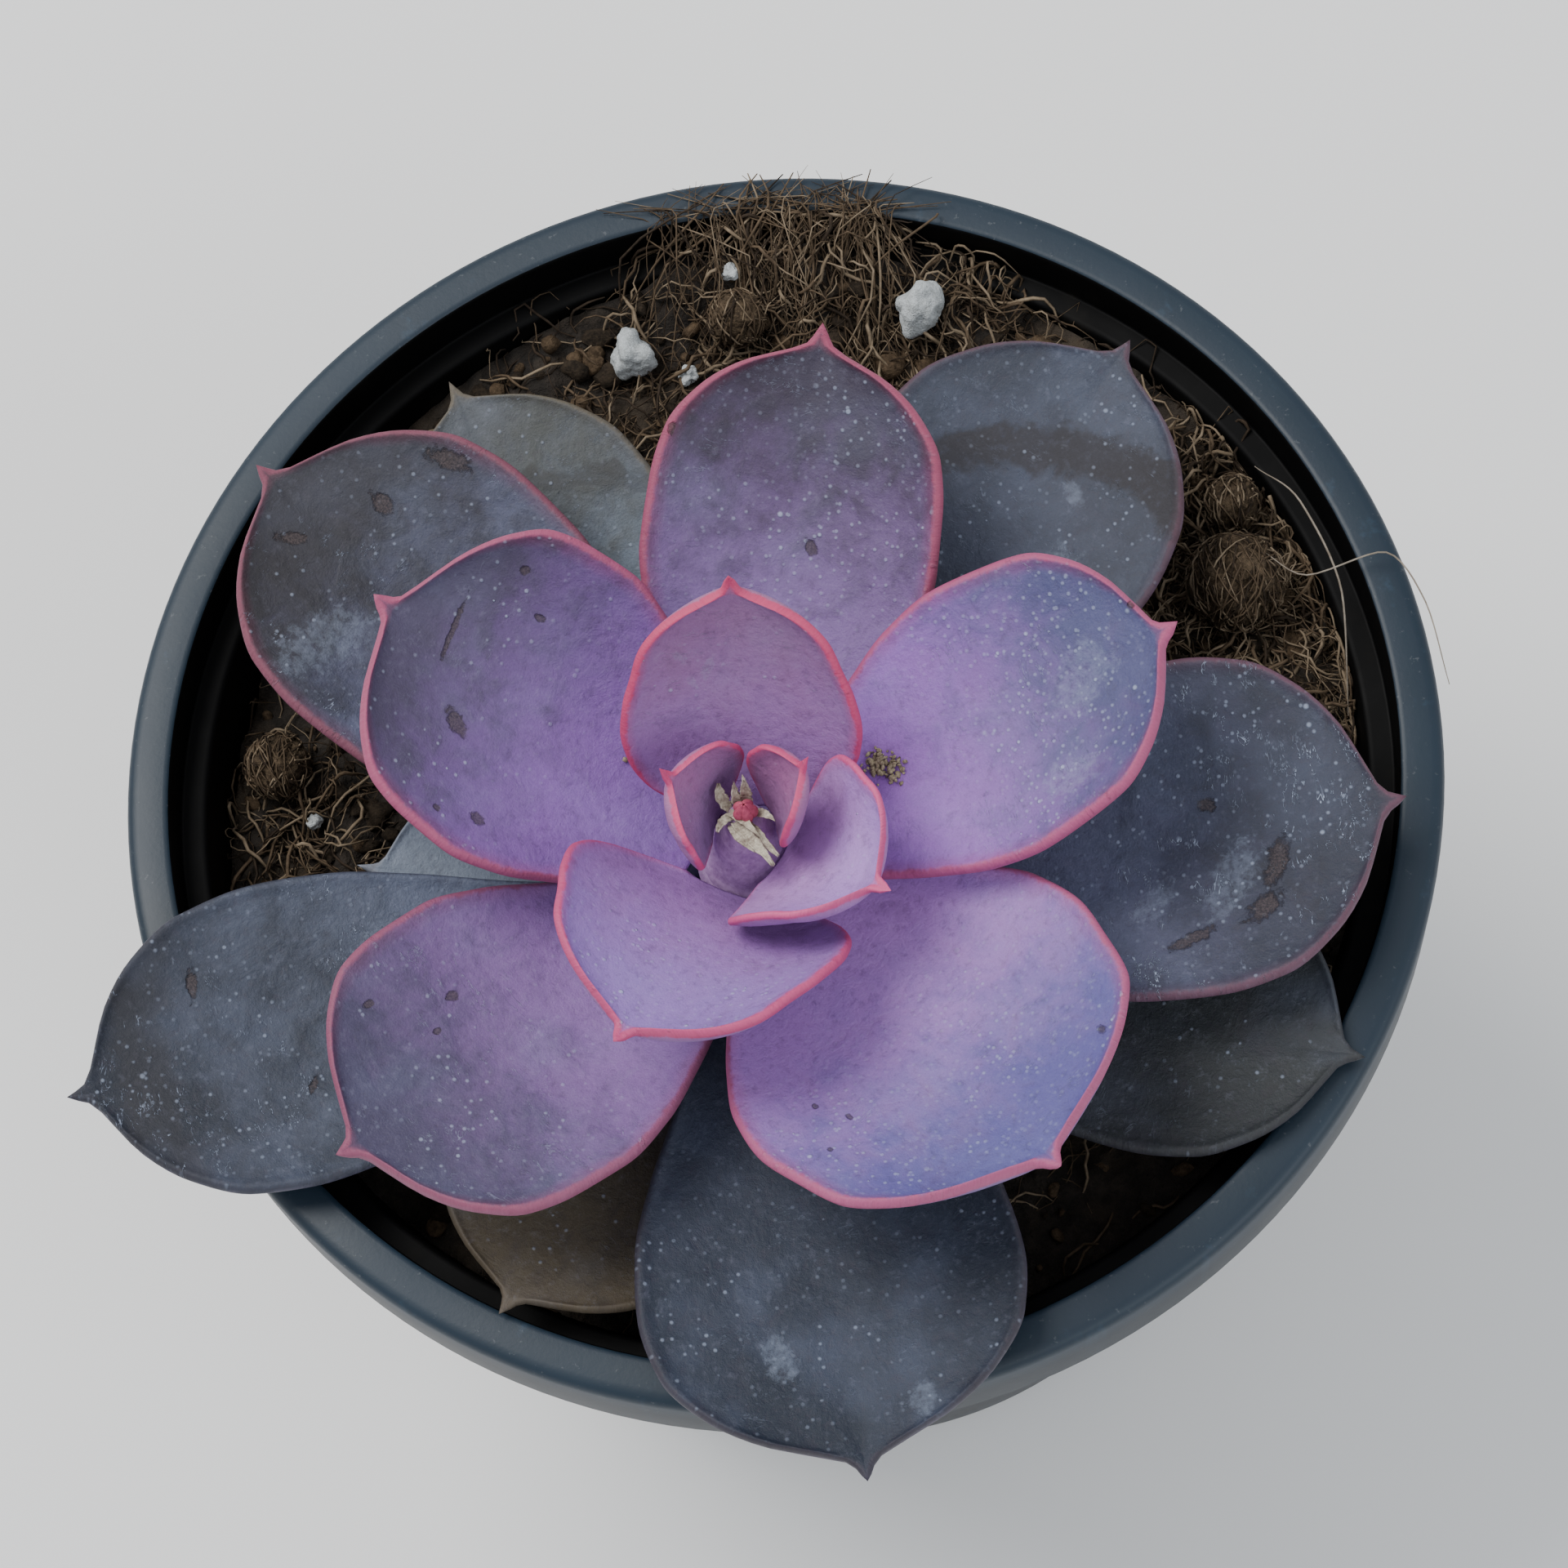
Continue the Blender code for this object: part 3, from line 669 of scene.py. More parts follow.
def leaf_material(name, length, skin_group, mark_group, shift):
    near, far, rim = LEAF_COLOURS[name]
    rim_width, rim_strength, specks, cracks, stains, dull = LEAF_MARKS[name]
    band_place, slope, bend, width, strength = BANDS.get(name, (0.0, 0.0, 0.0, 1.0, 0.0))
    material, tree, shader = new_material(f"{name} skin")
    skin = use_group(
        tree,
        skin_group,
        {
            "Near": near,
            "Far": far,
            "Rim": rim,
            "Rim width": rim_width,
            "Rim strength": rim_strength,
            "Length": length,
            "Specks": specks,
            "Cracks": cracks,
            "Stains": stains,
            "Dullness": dull,
            "Shift": shift,
            "Scab": spots(tree, mark_group, SCABS.get(name, ())),
            "Smudge": spots(tree, mark_group, SMUDGES.get(name, ())),
            "Band place": band_place,
            "Band slope": slope,
            "Band bend": bend,
            "Band width": width,
            "Band strength": strength,
        },
    )
    tree.links.new(skin["Colour"], shader.inputs["Base Color"])
    tree.links.new(skin["Roughness"], shader.inputs["Roughness"])
    shader.inputs["Specular IOR Level"].default_value = 0.38
    bump(tree, shader, skin["Height"], 0.30 * MM)
    return material


def plastic_material(colour):
    """Blue-grey plastic with a cloudy film, scuffs, pale specks of dust and lime, and soil dirt low down;
    below the rim top it darkens towards near-black as painted shade.
    """
    material, tree, shader = new_material("Pot plastic")
    where = put(tree, "ShaderNodeTexCoord").outputs["Object"]
    cloud = grain(tree, where, 45, 4, 0.6)
    streak = put(tree, "ShaderNodeMapping", {"Vector": where, "Scale": (260, 260, 18)}).outputs[0]
    scuff = grain(tree, streak, 1.0, 4, 0.7)
    speck = grain(tree, where, 1400, 3, 0.7)
    film = calc(tree, "MULTIPLY_ADD", between(tree, cloud, 0.25, 0.8), 0.5, 0.5)
    base = blend(tree, film, tuple(0.6 * c for c in colour), colour)
    worn = times(tree, between(tree, scuff, 0.60, 0.78), 0.35)
    base = blend(tree, worn, base, tuple(2.6 * c for c in colour))
    dots = times(tree, between(tree, speck, 0.64, 0.72), 0.25)
    base = blend(tree, dots, base, (0.16, 0.17, 0.18))
    height = put(tree, "ShaderNodeSeparateXYZ", {0: where}).outputs[2]
    # Painted shade: below the rim top the plastic darkens towards near-black, standing for the shadow under
    # the rim
    shade = between(tree, height, POT_HEIGHT - 1.0 * MM, POT_HEIGHT - 5.0 * MM)
    base = blend(tree, times(tree, shade, 0.55), base, (0.004, 0.0045, 0.005))
    splash = times(tree, between(tree, height, 45 * MM, 0.0), between(tree, speck, 0.50, 0.66))
    grime = times(tree, between(tree, height, 22 * MM, 0.0), between(tree, cloud, 0.40, 0.70))
    soiled = calc(tree, "MAXIMUM", times(tree, splash, 0.5), times(tree, grime, 0.45))
    base = blend(tree, soiled, base, (0.060, 0.048, 0.036))
    tree.links.new(base, shader.inputs["Base Color"])
    tree.links.new(calc(tree, "MULTIPLY_ADD", cloud, 0.22, 0.36), shader.inputs["Roughness"])
    shader.inputs["Specular IOR Level"].default_value = 0.38
    bump(tree, shader, plus(tree, speck, times(tree, scuff, 0.5)), 0.03 * MM, 0.6)
    return material


def inside_painted_shade_material():
    """The pot's inside: near-black plastic, a painted shade for the shadow inside the pot."""
    material, tree, shader = new_material("Pot inside painted shade")
    where = put(tree, "ShaderNodeTexCoord").outputs["Object"]
    cloud = grain(tree, where, 120, 4, 0.6)
    # Painted shade: near-black colour with faint cloudy variation stands for the shadow inside the pot
    base = blend(tree, between(tree, cloud, 0.55, 0.80), (0.0014, 0.0014, 0.0016), (0.008, 0.007, 0.006))
    tree.links.new(base, shader.inputs["Base Color"])
    tree.links.new(calc(tree, "MULTIPLY_ADD", cloud, 0.3, 0.45), shader.inputs["Roughness"])
    shader.inputs["Specular IOR Level"].default_value = 0.12
    bump(tree, shader, cloud, 0.05 * MM)
    return material


def medium_material(colour):
    material, tree, shader = new_material("Damp peat")
    where = put(tree, "ShaderNodeTexCoord").outputs["Object"]
    lumps = grain(tree, where, 500, 5, 0.7)
    cloud = grain(tree, where, 90, 3, 0.6)
    base = blend(tree, between(tree, lumps, 0.35, 0.75), colour, tuple(3.2 * c for c in colour))
    base = blend(tree, times(tree, between(tree, cloud, 0.5, 0.7), 0.5), base, (0.07, 0.05, 0.03))
    tree.links.new(base, shader.inputs["Base Color"])
    shader.inputs["Roughness"].default_value = 0.95
    bump(tree, shader, lumps, 1.0 * MM)
    return material


def coarse_group():
    """Lumps with finer grain on them: a colour between dark and light, and a height."""
    name = "Coarse grain"
    if name in bpy.data.node_groups:
        return bpy.data.node_groups[name]
    group, given, out = new_group(
        name,
        (
            ("Dark", COLOUR, (0.1, 0.1, 0.1, 1)),
            ("Light", COLOUR, (0.5, 0.5, 0.5, 1)),
            ("Scale", NUMBER, 500.0),
        ),
        (("Colour", COLOUR), ("Height", NUMBER)),
    )
    where = put(group, "ShaderNodeTexCoord").outputs["Object"]
    lumps = grain(group, where, given["Scale"], 4, 0.7)
    fine = grain(group, where, times(group, given["Scale"], 3.7), 3, 0.7)
    tone = calc(group, "MULTIPLY_ADD", fine, 0.5, times(group, lumps, 0.6))
    mix = blend(group, between(group, tone, 0.35, 0.75), given["Dark"], given["Light"])
    group.links.new(mix, out["Colour"])
    group.links.new(tone, out["Height"])
    return group


def coarse_material(name):
    """A dry, uneven surface between a dark and a light colour."""
    dark, light, scale, roughness, depth = COARSE_LOOKS[name]
    material, tree, shader = new_material(name)
    made = use_group(tree, coarse_group(), {"Dark": dark, "Light": light, "Scale": float(scale)})
    tree.links.new(made["Colour"], shader.inputs["Base Color"])
    shader.inputs["Roughness"].default_value = roughness
    shader.inputs["Specular IOR Level"].default_value = 0.2
    bump(tree, shader, made["Height"], depth * MM)
    return material


# ---------------------------------------------------------------- pot


def wall_radius(height):
    top = POT_HEIGHT - THROAT_DEPTH - WALL
    ledge = RIM_RADIUS - RIM_WIDTH - LEDGE_WIDTH + WALL
    return BASE_RADIUS + (ledge - BASE_RADIUS) * height / top


def pot_corners():
    """The pot's section as (radius, height, rounding), from under the base over the rim and in."""
    throat = RIM_RADIUS - RIM_WIDTH
    ledge = throat - LEDGE_WIDTH
    ledge_top = POT_HEIGHT - THROAT_DEPTH
    ledge_under = ledge_top - WALL
    floor_top = FOOT_HEIGHT + FLOOR
    return (
        (0, 0, 0),
        (PAD_RADIUS, 0, 0.4 * MM),
        (PAD_RADIUS + FOOT_HEIGHT, FOOT_HEIGHT, 0.4 * MM),
        (BASE_RADIUS - FOOT_WIDTH - 0.6 * MM, FOOT_HEIGHT, 0.4 * MM),
        (BASE_RADIUS - FOOT_WIDTH, 0, 0.4 * MM),
        (BASE_RADIUS, 0, 0.8 * MM),
        (wall_radius(ledge_under), ledge_under, 0.4 * MM),
        (throat + WALL, ledge_under, 0.3 * MM),
        (throat + WALL, POT_HEIGHT - WALL, 0.3 * MM),
        (RIM_RADIUS - WALL, POT_HEIGHT - WALL, 0.3 * MM),
        (RIM_RADIUS - WALL, POT_HEIGHT - SKIRT_DEPTH, 0.3 * MM),
        (RIM_RADIUS, POT_HEIGHT - SKIRT_DEPTH, 0.5 * MM),
        (RIM_RADIUS, POT_HEIGHT, 1.3 * MM),
        (throat, POT_HEIGHT, 0.7 * MM),
        (throat, ledge_top, 0.3 * MM),
        (ledge, ledge_top, 0.6 * MM),
        (wall_radius(floor_top) - WALL, floor_top, 1.0 * MM),
        (0, floor_top, 0),
    )


def rounded(corners, steps=4):
    """Rounds each corner of a section with a short arc."""
    points = [Vector((radius, 0, height)) for radius, height, _ in corners]
    made = [points[0]]
    for i in range(1, len(points) - 1):
        radius = corners[i][2]
        before = (points[i - 1] - points[i]).normalized()
        after = (points[i + 1] - points[i]).normalized()
        for k in range(steps + 1):
            t = k / steps
            start, end = points[i] + before * radius, points[i] + after * radius
            made.append(start.lerp(points[i], t).lerp(points[i].lerp(end, t), t))
    made.append(points[-1])
    return made


def turn_solid(points, steps):
    """Spins a section round the Z axis into a closed solid."""
    bm = bmesh.new()
    verts = [bm.verts.new(point) for point in points]
    edges = [bm.edges.new(pair) for pair in zip(verts, verts[1:])]
    bmesh.ops.spin(
        bm,
        geom=verts + edges,
        axis=(0, 0, 1),
        cent=(0, 0, 0),
        angle=2 * math.pi,
        steps=steps,
        use_merge=True,
    )
    bmesh.ops.remove_doubles(bm, verts=bm.verts, dist=0.005 * MM)
    bmesh.ops.recalc_face_normals(bm, faces=bm.faces)
    return bm


def cut_out(piece, cutter_bm):
    """Cuts a closed shape out of a piece's mesh."""
    cutter_mesh = bpy.data.meshes.new("cutter")
    cutter_bm.to_mesh(cutter_mesh)
    cutter_bm.free()
    cutter = bpy.data.objects.new("cutter", cutter_mesh)
    bpy.context.collection.objects.link(cutter)
    cut = piece.modifiers.new("Cut", "BOOLEAN")
    cut.operation = "DIFFERENCE"
    cut.solver = "EXACT"
    cut.object = cutter
    bpy.context.view_layer.update()
    shown = piece.evaluated_get(bpy.context.evaluated_depsgraph_get())
    mesh = bpy.data.meshes.new_from_object(shown)
    piece.modifiers.clear()
    piece.data = mesh
    bpy.data.objects.remove(cutter)


class SUCCULENT_OT_pot(bpy.types.Operator):
    """Turn the nursery pot and cut its drain holes"""

    bl_idname = "succulent.pot"
    bl_label = "Pot"

    def execute(self, context):
        settings = context.scene.succulent_pot
        bm = turn_solid(rounded(pot_corners()), settings.steps)
        plastic = plastic_material(tuple(settings.colour))
        piece = finish_piece("pot_shell", bm, plastic, ("pot",), 35)
        drains = bmesh.new()
        for i in range(DRAIN_COUNT):
            place = polar(360 / DRAIN_COUNT * (i + 0.5), DRAIN_CIRCLE, FOOT_HEIGHT + FLOOR / 2)
            bmesh.ops.create_cone(
                drains,
                cap_ends=True,
                segments=32,
                radius1=DRAIN_RADIUS,
                radius2=DRAIN_RADIUS,
                depth=4 * FLOOR,
                matrix=Matrix.Translation(place),
            )
        cut_out(piece, drains)
        # Faces inside the pot take the near-black material: painted shade for the shadow inside the pot
        piece.data.materials.append(inside_painted_shade_material())
        for face in piece.data.polygons:
            reach = math.hypot(face.center.x, face.center.y)
            height = face.center.z
            if height > POT_HEIGHT - THROAT_DEPTH - WALL / 2:
                inside = reach < RIM_RADIUS - RIM_WIDTH + 0.1 * MM
            else:
                inside = reach < wall_radius(height) - WALL / 2 and height > FOOT_HEIGHT + FLOOR / 2
            if inside:
                face.material_index = 1
        return {"FINISHED"}


# ---------------------------------------------------------------- growing medium


SLOPE_SPAN = 50 * MM
BACK_RISE = 6.0 * MM
RIGHT_RISE = 3.0 * MM
LUMP_HEIGHT = 0.7 * MM
HEAP_HEIGHT = 3.2 * MM
HEAP_PLACE = 54 * MM
HEAP_SPREAD = (15 * MM, 6 * MM)
MEDIUM_REACH = 53 * MM
MEDIUM_CELLS = 190


def soil_height(x, y):
    """Height of the medium, which rises to the back and the right."""
    back = max(0.0, y / SLOPE_SPAN)
    right = max(0.0, x / SLOPE_SPAN)
    lumps = math.sin(x / (6.1 * MM) + 1.3) * math.sin(y / (7.3 * MM) + 0.4)
    lumps += 0.5 * math.sin((x + y) / (3.7 * MM)) * math.sin((x - y) / (4.3 * MM))
    rise = BACK_RISE * back ** 2 + RIGHT_RISE * right ** 2
    return POT_HEIGHT - SOIL_DROP + rise + LUMP_HEIGHT * lumps


def heap_height(x, y):
    """Height of the medium with the loose heap at the back rim."""
    heap = math.exp(-((x / HEAP_SPREAD[0]) ** 2) - ((y - HEAP_PLACE) / HEAP_SPREAD[1]) ** 2)
    return soil_height(x, y) + HEAP_HEIGHT * heap


def inside_radius(height):
    """Radius of the pot's inner wall at a height."""
    if height < POT_HEIGHT - THROAT_DEPTH:
        return wall_radius(height) - WALL
    return RIM_RADIUS - RIM_WIDTH


def keep_inside(point, margin):
    """Moves a point inward until it is clear of the pot's inner wall."""
    limit = inside_radius(point.z) - margin
    reach = math.hypot(point.x, point.y)
    if reach > limit:
        point.x *= limit / reach
        point.y *= limit / reach
    return point


def add_lump(bm, centre, size, rng, detail=2, rough=0.35):
    """Appends a small uneven lump, longer one way than the others."""
    made = bmesh.ops.create_icosphere(bm, subdivisions=detail, radius=1.0)["verts"]
    shift = Vector([rng.uniform(-50, 50) for _ in range(3)])
    stretch = Vector((rng.uniform(0.7, 1.5), rng.uniform(0.6, 1.1), rng.uniform(0.5, 0.9)))
    turn = Matrix.Rotation(rng.uniform(0, 6.28), 3, "Z") @ Matrix.Rotation(rng.uniform(-0.6, 0.6), 3, "X")
    for vert in made:
        swell = 1 + rough * noise.noise(vert.co * 1.7 + shift)
        swell += 0.5 * rough * noise.noise(vert.co * 4.1 + shift)
        vert.co = turn @ (vert.co * swell * stretch) * size + centre


def strands(name, paths, material):
    """Turns paths of (point, radius) into one piece of round strands with closed ends."""
    curve = bpy.data.curves.new(name, "CURVE")
    curve.dimensions = "3D"
    curve.bevel_depth = 1.0
    curve.bevel_resolution = 0
    curve.use_fill_caps = True
    for path in paths:
        spline = curve.splines.new("POLY")
        spline.points.add(len(path) - 1)
        for point, (place, radius) in zip(spline.points, path):
            point.co = (*place, 1)
            point.radius = radius
    obj = bpy.data.objects.new(name, curve)
    bpy.context.collection.objects.link(obj)
    bpy.context.view_layer.update()
    shown = obj.evaluated_get(bpy.context.evaluated_depsgraph_get())
    mesh = bpy.data.meshes.new_from_object(shown)
    bpy.data.objects.remove(obj)
    return finish_mesh(name, mesh, material)


def smooth_path(points, steps, radius):
    """A strand through a few points: a smooth curve that thins to both ends."""
    places = np.linspace(0, len(points) - 1, steps)
    knots = np.arange(len(points))
    columns = [smooth_curve(knots, [point[k] for point in points], places) for k in range(3)]
    thin = [radius * (0.45 + 0.55 * math.sin(math.pi * i / (steps - 1))) for i in range(steps)]
    return [(Vector(place), size) for place, size in zip(zip(*columns), thin)]


def ground_fibre(rng, x, y, heading, length, arch, radius, curl=0.5):
    """A coir fibre that lies on the medium and rises in an arch."""
    steps = 8
    path = []
    for i in range(steps):
        share = i / (steps - 1)
        lift = arch * math.sin(math.pi * share) - 0.15 * MM + rng.uniform(-0.1, 0.15) * MM
        place = keep_inside(Vector((x, y, heap_height(x, y) + lift)), radius + 0.3 * MM)
        path.append((place, radius * (0.5 + 0.5 * math.sin(math.pi * share))))
        heading += rng.uniform(-curl, curl)
        x += math.cos(heading) * length / (steps - 1)
        y += math.sin(heading) * length / (steps - 1)
    return path


def clod_fibre(rng, centre, radius):
    """A fibre that wraps part of the way round a clod."""
    pole = Vector([rng.gauss(0, 1) for _ in range(3)]).normalized()
    start = pole.orthogonal().normalized()
    steps, sweep = 8, rng.uniform(0.8, 2.6)
    offset = rng.uniform(-0.6, 0.6)
    path = []
    for i in range(steps):
        turn = Matrix.Rotation(sweep * i / (steps - 1), 3, pole)
        way = (turn @ start + pole * offset).normalized()
        reach = radius * (1.0 + rng.uniform(-0.04, 0.10))
        path.append((centre + way * reach, rng.uniform(0.05, 0.11) * MM))
    return path


class SUCCULENT_OT_medium(bpy.types.Operator):
    """Fill the pot with dark growing medium"""

    bl_idname = "succulent.medium"
    bl_label = "Growing medium"

    def execute(self, context):
        settings = context.scene.succulent_medium
        bm = bmesh.new()
        bmesh.ops.create_grid(bm, x_segments=MEDIUM_CELLS, y_segments=MEDIUM_CELLS, size=MEDIUM_REACH)
        for vert in bm.verts:
            square = max(abs(vert.co.x), abs(vert.co.y))
            length = vert.co.length
            if length > 0:
                vert.co *= square / length
            crumbs = 1.1 * noise.noise(vert.co * 230) + 0.7 * noise.noise(vert.co * 620)
            vert.co.z = heap_height(vert.co.x, vert.co.y) + crumbs * MM
            keep_inside(vert.co, 0.2 * MM)
        rim = [edge for edge in bm.edges if edge.is_boundary]
        made = bmesh.ops.extrude_edge_only(bm, edges=rim)["geom"]
        floor = FOOT_HEIGHT + FLOOR + GAP
        for vert in made:
            if isinstance(vert, bmesh.types.BMVert):
                flat = Vector((vert.co.x, vert.co.y)).normalized() * (inside_radius(floor) - GAP)
                vert.co = (flat.x, flat.y, floor)
        bmesh.ops.holes_fill(bm, edges=[edge for edge in bm.edges if edge.is_boundary])
        bmesh.ops.recalc_face_normals(bm, faces=bm.faces)
        material = medium_material(tuple(settings.colour))
        finish_piece("peat_bed", bm, material, ("growing_medium",), 60)
        return {"FINISHED"}


# Routes of the hair roots: over the rim, along the inner wall, and low across the medium
HAIR_ROOTS = (
    ((44.0, 21.0, -2.5), (48.4, 16.7, 1.0), (55.0, 18.5, 1.8), (58.6, 14.0, 1.4), (60.6, 6.0, 0.4)),
    ((44.0, 30.0, -4.0), (48.0, 24.0, 0.5), (51.5, 15.0, -1.0), (52.0, 6.0, -7.0)),
    ((38.0, 8.0, -8.0), (45.0, 5.0, -6.0), (50.0, 0.0, -8.0), (51.0, -8.0, -10.0)),
)

# Mats of coir: heading, distance, spread, fibres
MATS = (
    (26, 46.5, 4.5, 420),
    (10, 48.0, 3.5, 200),
    (40, 48.5, 3.0, 160),
    (88, 48.5, 6.5, 260),
    (70, 48.0, 4.0, 120),
    (184, 46.0, 3.0, 70),
)


def coir_density(heading):
    """How much fibre lies at a heading: most at the back, much at the right, little elsewhere."""
    back = math.exp(-(((heading - 90) / 34) ** 2))
    right = math.exp(-(((heading - 22) / 24) ** 2))
    left = 0.45 * math.exp(-(((heading - 182) / 16) ** 2))
    return min(1.0, 0.10 + back + 0.9 * right + left)


class SUCCULENT_OT_litter(bpy.types.Operator):
    """Scatter crumbs, coir fibres, clods and hair roots on the medium"""

    bl_idname = "succulent.litter"
    bl_label = "Litter"

    def execute(self, context):
        settings = context.scene.succulent_medium
        rng = random.Random(settings.seed)
        for name in ("Peat crumbs", "Bark crumbs"):
            bm, material = bmesh.new(), coarse_material(name)
            made = 0
            while made < settings.crumbs:
                heading, reach = rng.uniform(-180, 180), math.sqrt(rng.uniform(0.12, 1)) * 51.5 * MM
                if rng.random() > coir_density(heading % 360) + 0.25:
                    continue
                size = rng.choice((0.35, 0.45, 0.6, 0.8, 1.2)) * rng.uniform(0.7, 1.2) * MM
                spot = polar(heading, reach)
                spot.z = heap_height(spot.x, spot.y) + 0.35 * size
                add_lump(bm, keep_inside(spot, 1.2 * size), size, rng, 1 if size < 0.5 * MM else 2)
                made += 1
            finish_piece(name.lower().replace(" ", "_"), bm, material, smooth=50)

        sets = {"coir_dark": [], "coir_brown": [], "coir_straw": []}
        names = list(sets)
        made = 0
        while made < settings.fibres:
            heading, reach = rng.uniform(0, 360), math.sqrt(rng.uniform(0.10, 1)) * 52 * MM
            if rng.random() > coir_density(heading):
                continue
            spot = polar(heading, reach)
            pick = names[0 if rng.random() < 0.40 else 1 if rng.random() < 0.6 else 2]
            length = rng.uniform(3, 11) * MM
            arch = rng.choice((0.3, 0.6, 1.0, 1.8)) * MM
            radius = rng.choice((0.06, 0.08, 0.11, 0.16)) * MM
            turn = rng.uniform(0, 6.28)
            sets[pick].append(ground_fibre(rng, spot.x, spot.y, turn, length, arch, radius, 0.7))
            made += 1
        for heading, distance, spread, count in MATS:
            for _ in range(count):
                spot = polar(heading, distance * MM)
                x, y = spot.x + rng.gauss(0, spread) * MM, spot.y + rng.gauss(0, spread) * MM
                pick = names[rng.choice((0, 1, 1, 2, 2))]
                length = rng.uniform(3, 9) * MM
                arch = rng.choice((0.4, 1.0, 1.8, 2.6)) * MM
                radius = rng.choice((0.07, 0.10, 0.14, 0.20)) * MM
                turn = rng.uniform(0, 6.28)
                sets[pick].append(ground_fibre(rng, x, y, turn, length, arch, radius, 0.8))
        tufts = (-9.5, -4.0, 1.0, 5.5, 8.5)
        for _ in range(settings.spilled_fibres):
            tuft = rng.choice(tufts)
            x = rng.gauss(tuft, 2.0) * MM
            foot = polar(90, rng.uniform(42, 51) * MM)
            foot.x = tuft * MM + rng.gauss(0, 4.5) * MM
            foot.z = heap_height(foot.x, foot.y) + 0.2 * MM
            reach = RIM_RADIUS - rng.uniform(0.7, 1.1) * RIM_WIDTH
            throat = Vector((x, math.sqrt(reach ** 2 - x * x), POT_HEIGHT))
            throat.z += rng.uniform(-0.4, 1.2) * MM
            over = rng.uniform(0.0, 1.0) ** 1.6
            end = throat * (1 + over * RIM_WIDTH / RIM_RADIUS)
            end.z = POT_HEIGHT + rng.uniform(0.15, 0.8) * MM
            end.x += rng.gauss(0, 3.2) * MM
            middle = (foot + throat) / 2 + Vector((rng.gauss(0, 2.2) * MM, 0, rng.uniform(0.3, 2.0) * MM))
            pick = names[rng.choice((0, 1, 1, 2))]
            path = smooth_path((foot, middle, throat, end), 9, rng.choice((0.05, 0.07, 0.09, 0.13)) * MM)
            sets[pick].append(path)

        clod_material = coarse_material("Coir clod")
        for i in range(1, 6):
            low, high = (Vector(corner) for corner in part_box(f"clod_{i}"))
            centre, radius = (low + high) / 2, (high.x - low.x) / 2
            bm = bmesh.new()
            bmesh.ops.create_icosphere(bm, subdivisions=5, radius=radius * 0.95)
            for vert in bm.verts:
                way = vert.co / radius
                swell = 0.16 * noise.noise(way * 1.8 + centre * 900) + 0.10 * noise.noise(way * 5.2)
                vert.co = vert.co * (1 + swell + 0.05 * noise.noise(way * 14)) + centre
            finish_piece(f"coir_clod_{i}", bm, clod_material, (f"clod_{i}",))
            for _ in range(int(26 * (radius / MM) ** 1.1)):
                sets[names[rng.choice((0, 1, 1, 2))]].append(clod_fibre(rng, centre, radius))

        for name, paths in sets.items():
            strands(name, paths, coarse_material(name))

        roots = []
        for points in HAIR_ROOTS:
            places = [Vector((x * MM, y * MM, POT_HEIGHT + z * MM)) for x, y, z in points]
            roots.append(smooth_path(places, 26, 0.11 * MM))
        strands("hair_roots", roots, coarse_material("Hair root"))
        return {"FINISHED"}


class SUCCULENT_OT_grains(bpy.types.Operator):
    """Lay the white grains in the medium"""

    bl_idname = "succulent.grains"
    bl_label = "White grains"

    def execute(self, context):
        material = coarse_material("White grain")
        for i in range(1, 7):
            low, high = (Vector(corner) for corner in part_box(f"white_grain_{i}"))
            centre, radius = (low + high) / 2, (high.x - low.x) / 2
            centre.z += heap_height(centre.x, centre.y) - soil_height(centre.x, centre.y)
            bm = bmesh.new()
            bmesh.ops.create_icosphere(bm, subdivisions=4, radius=radius)
            for vert in bm.verts:
                way = vert.co / radius
                swell = 0.50 * noise.noise(way * 1.1 + Vector((i * 9, 0, 0)))
                knobs = 0.16 * noise.noise(way * 2.6 + Vector((0, i * 5, 0)))
                vert.co = vert.co * (0.98 + swell + knobs + 0.06 * noise.noise(way * 8)) + centre
            finish_piece(f"perlite_{i}", bm, material, (f"white_grain_{i}",))
        return {"FINISHED"}


# ---------------------------------------------------------------- plant


def stem_centre(height):
    return Vector((PLANT_X, PLANT_Y + STEM_LEAN * (height - POT_HEIGHT), height))


def stem_radius(height):
    return min(STEM_RADIUS, STEM_TOP_RADIUS + STEM_TAPER * (TOP_LEAF_HEIGHT - height))


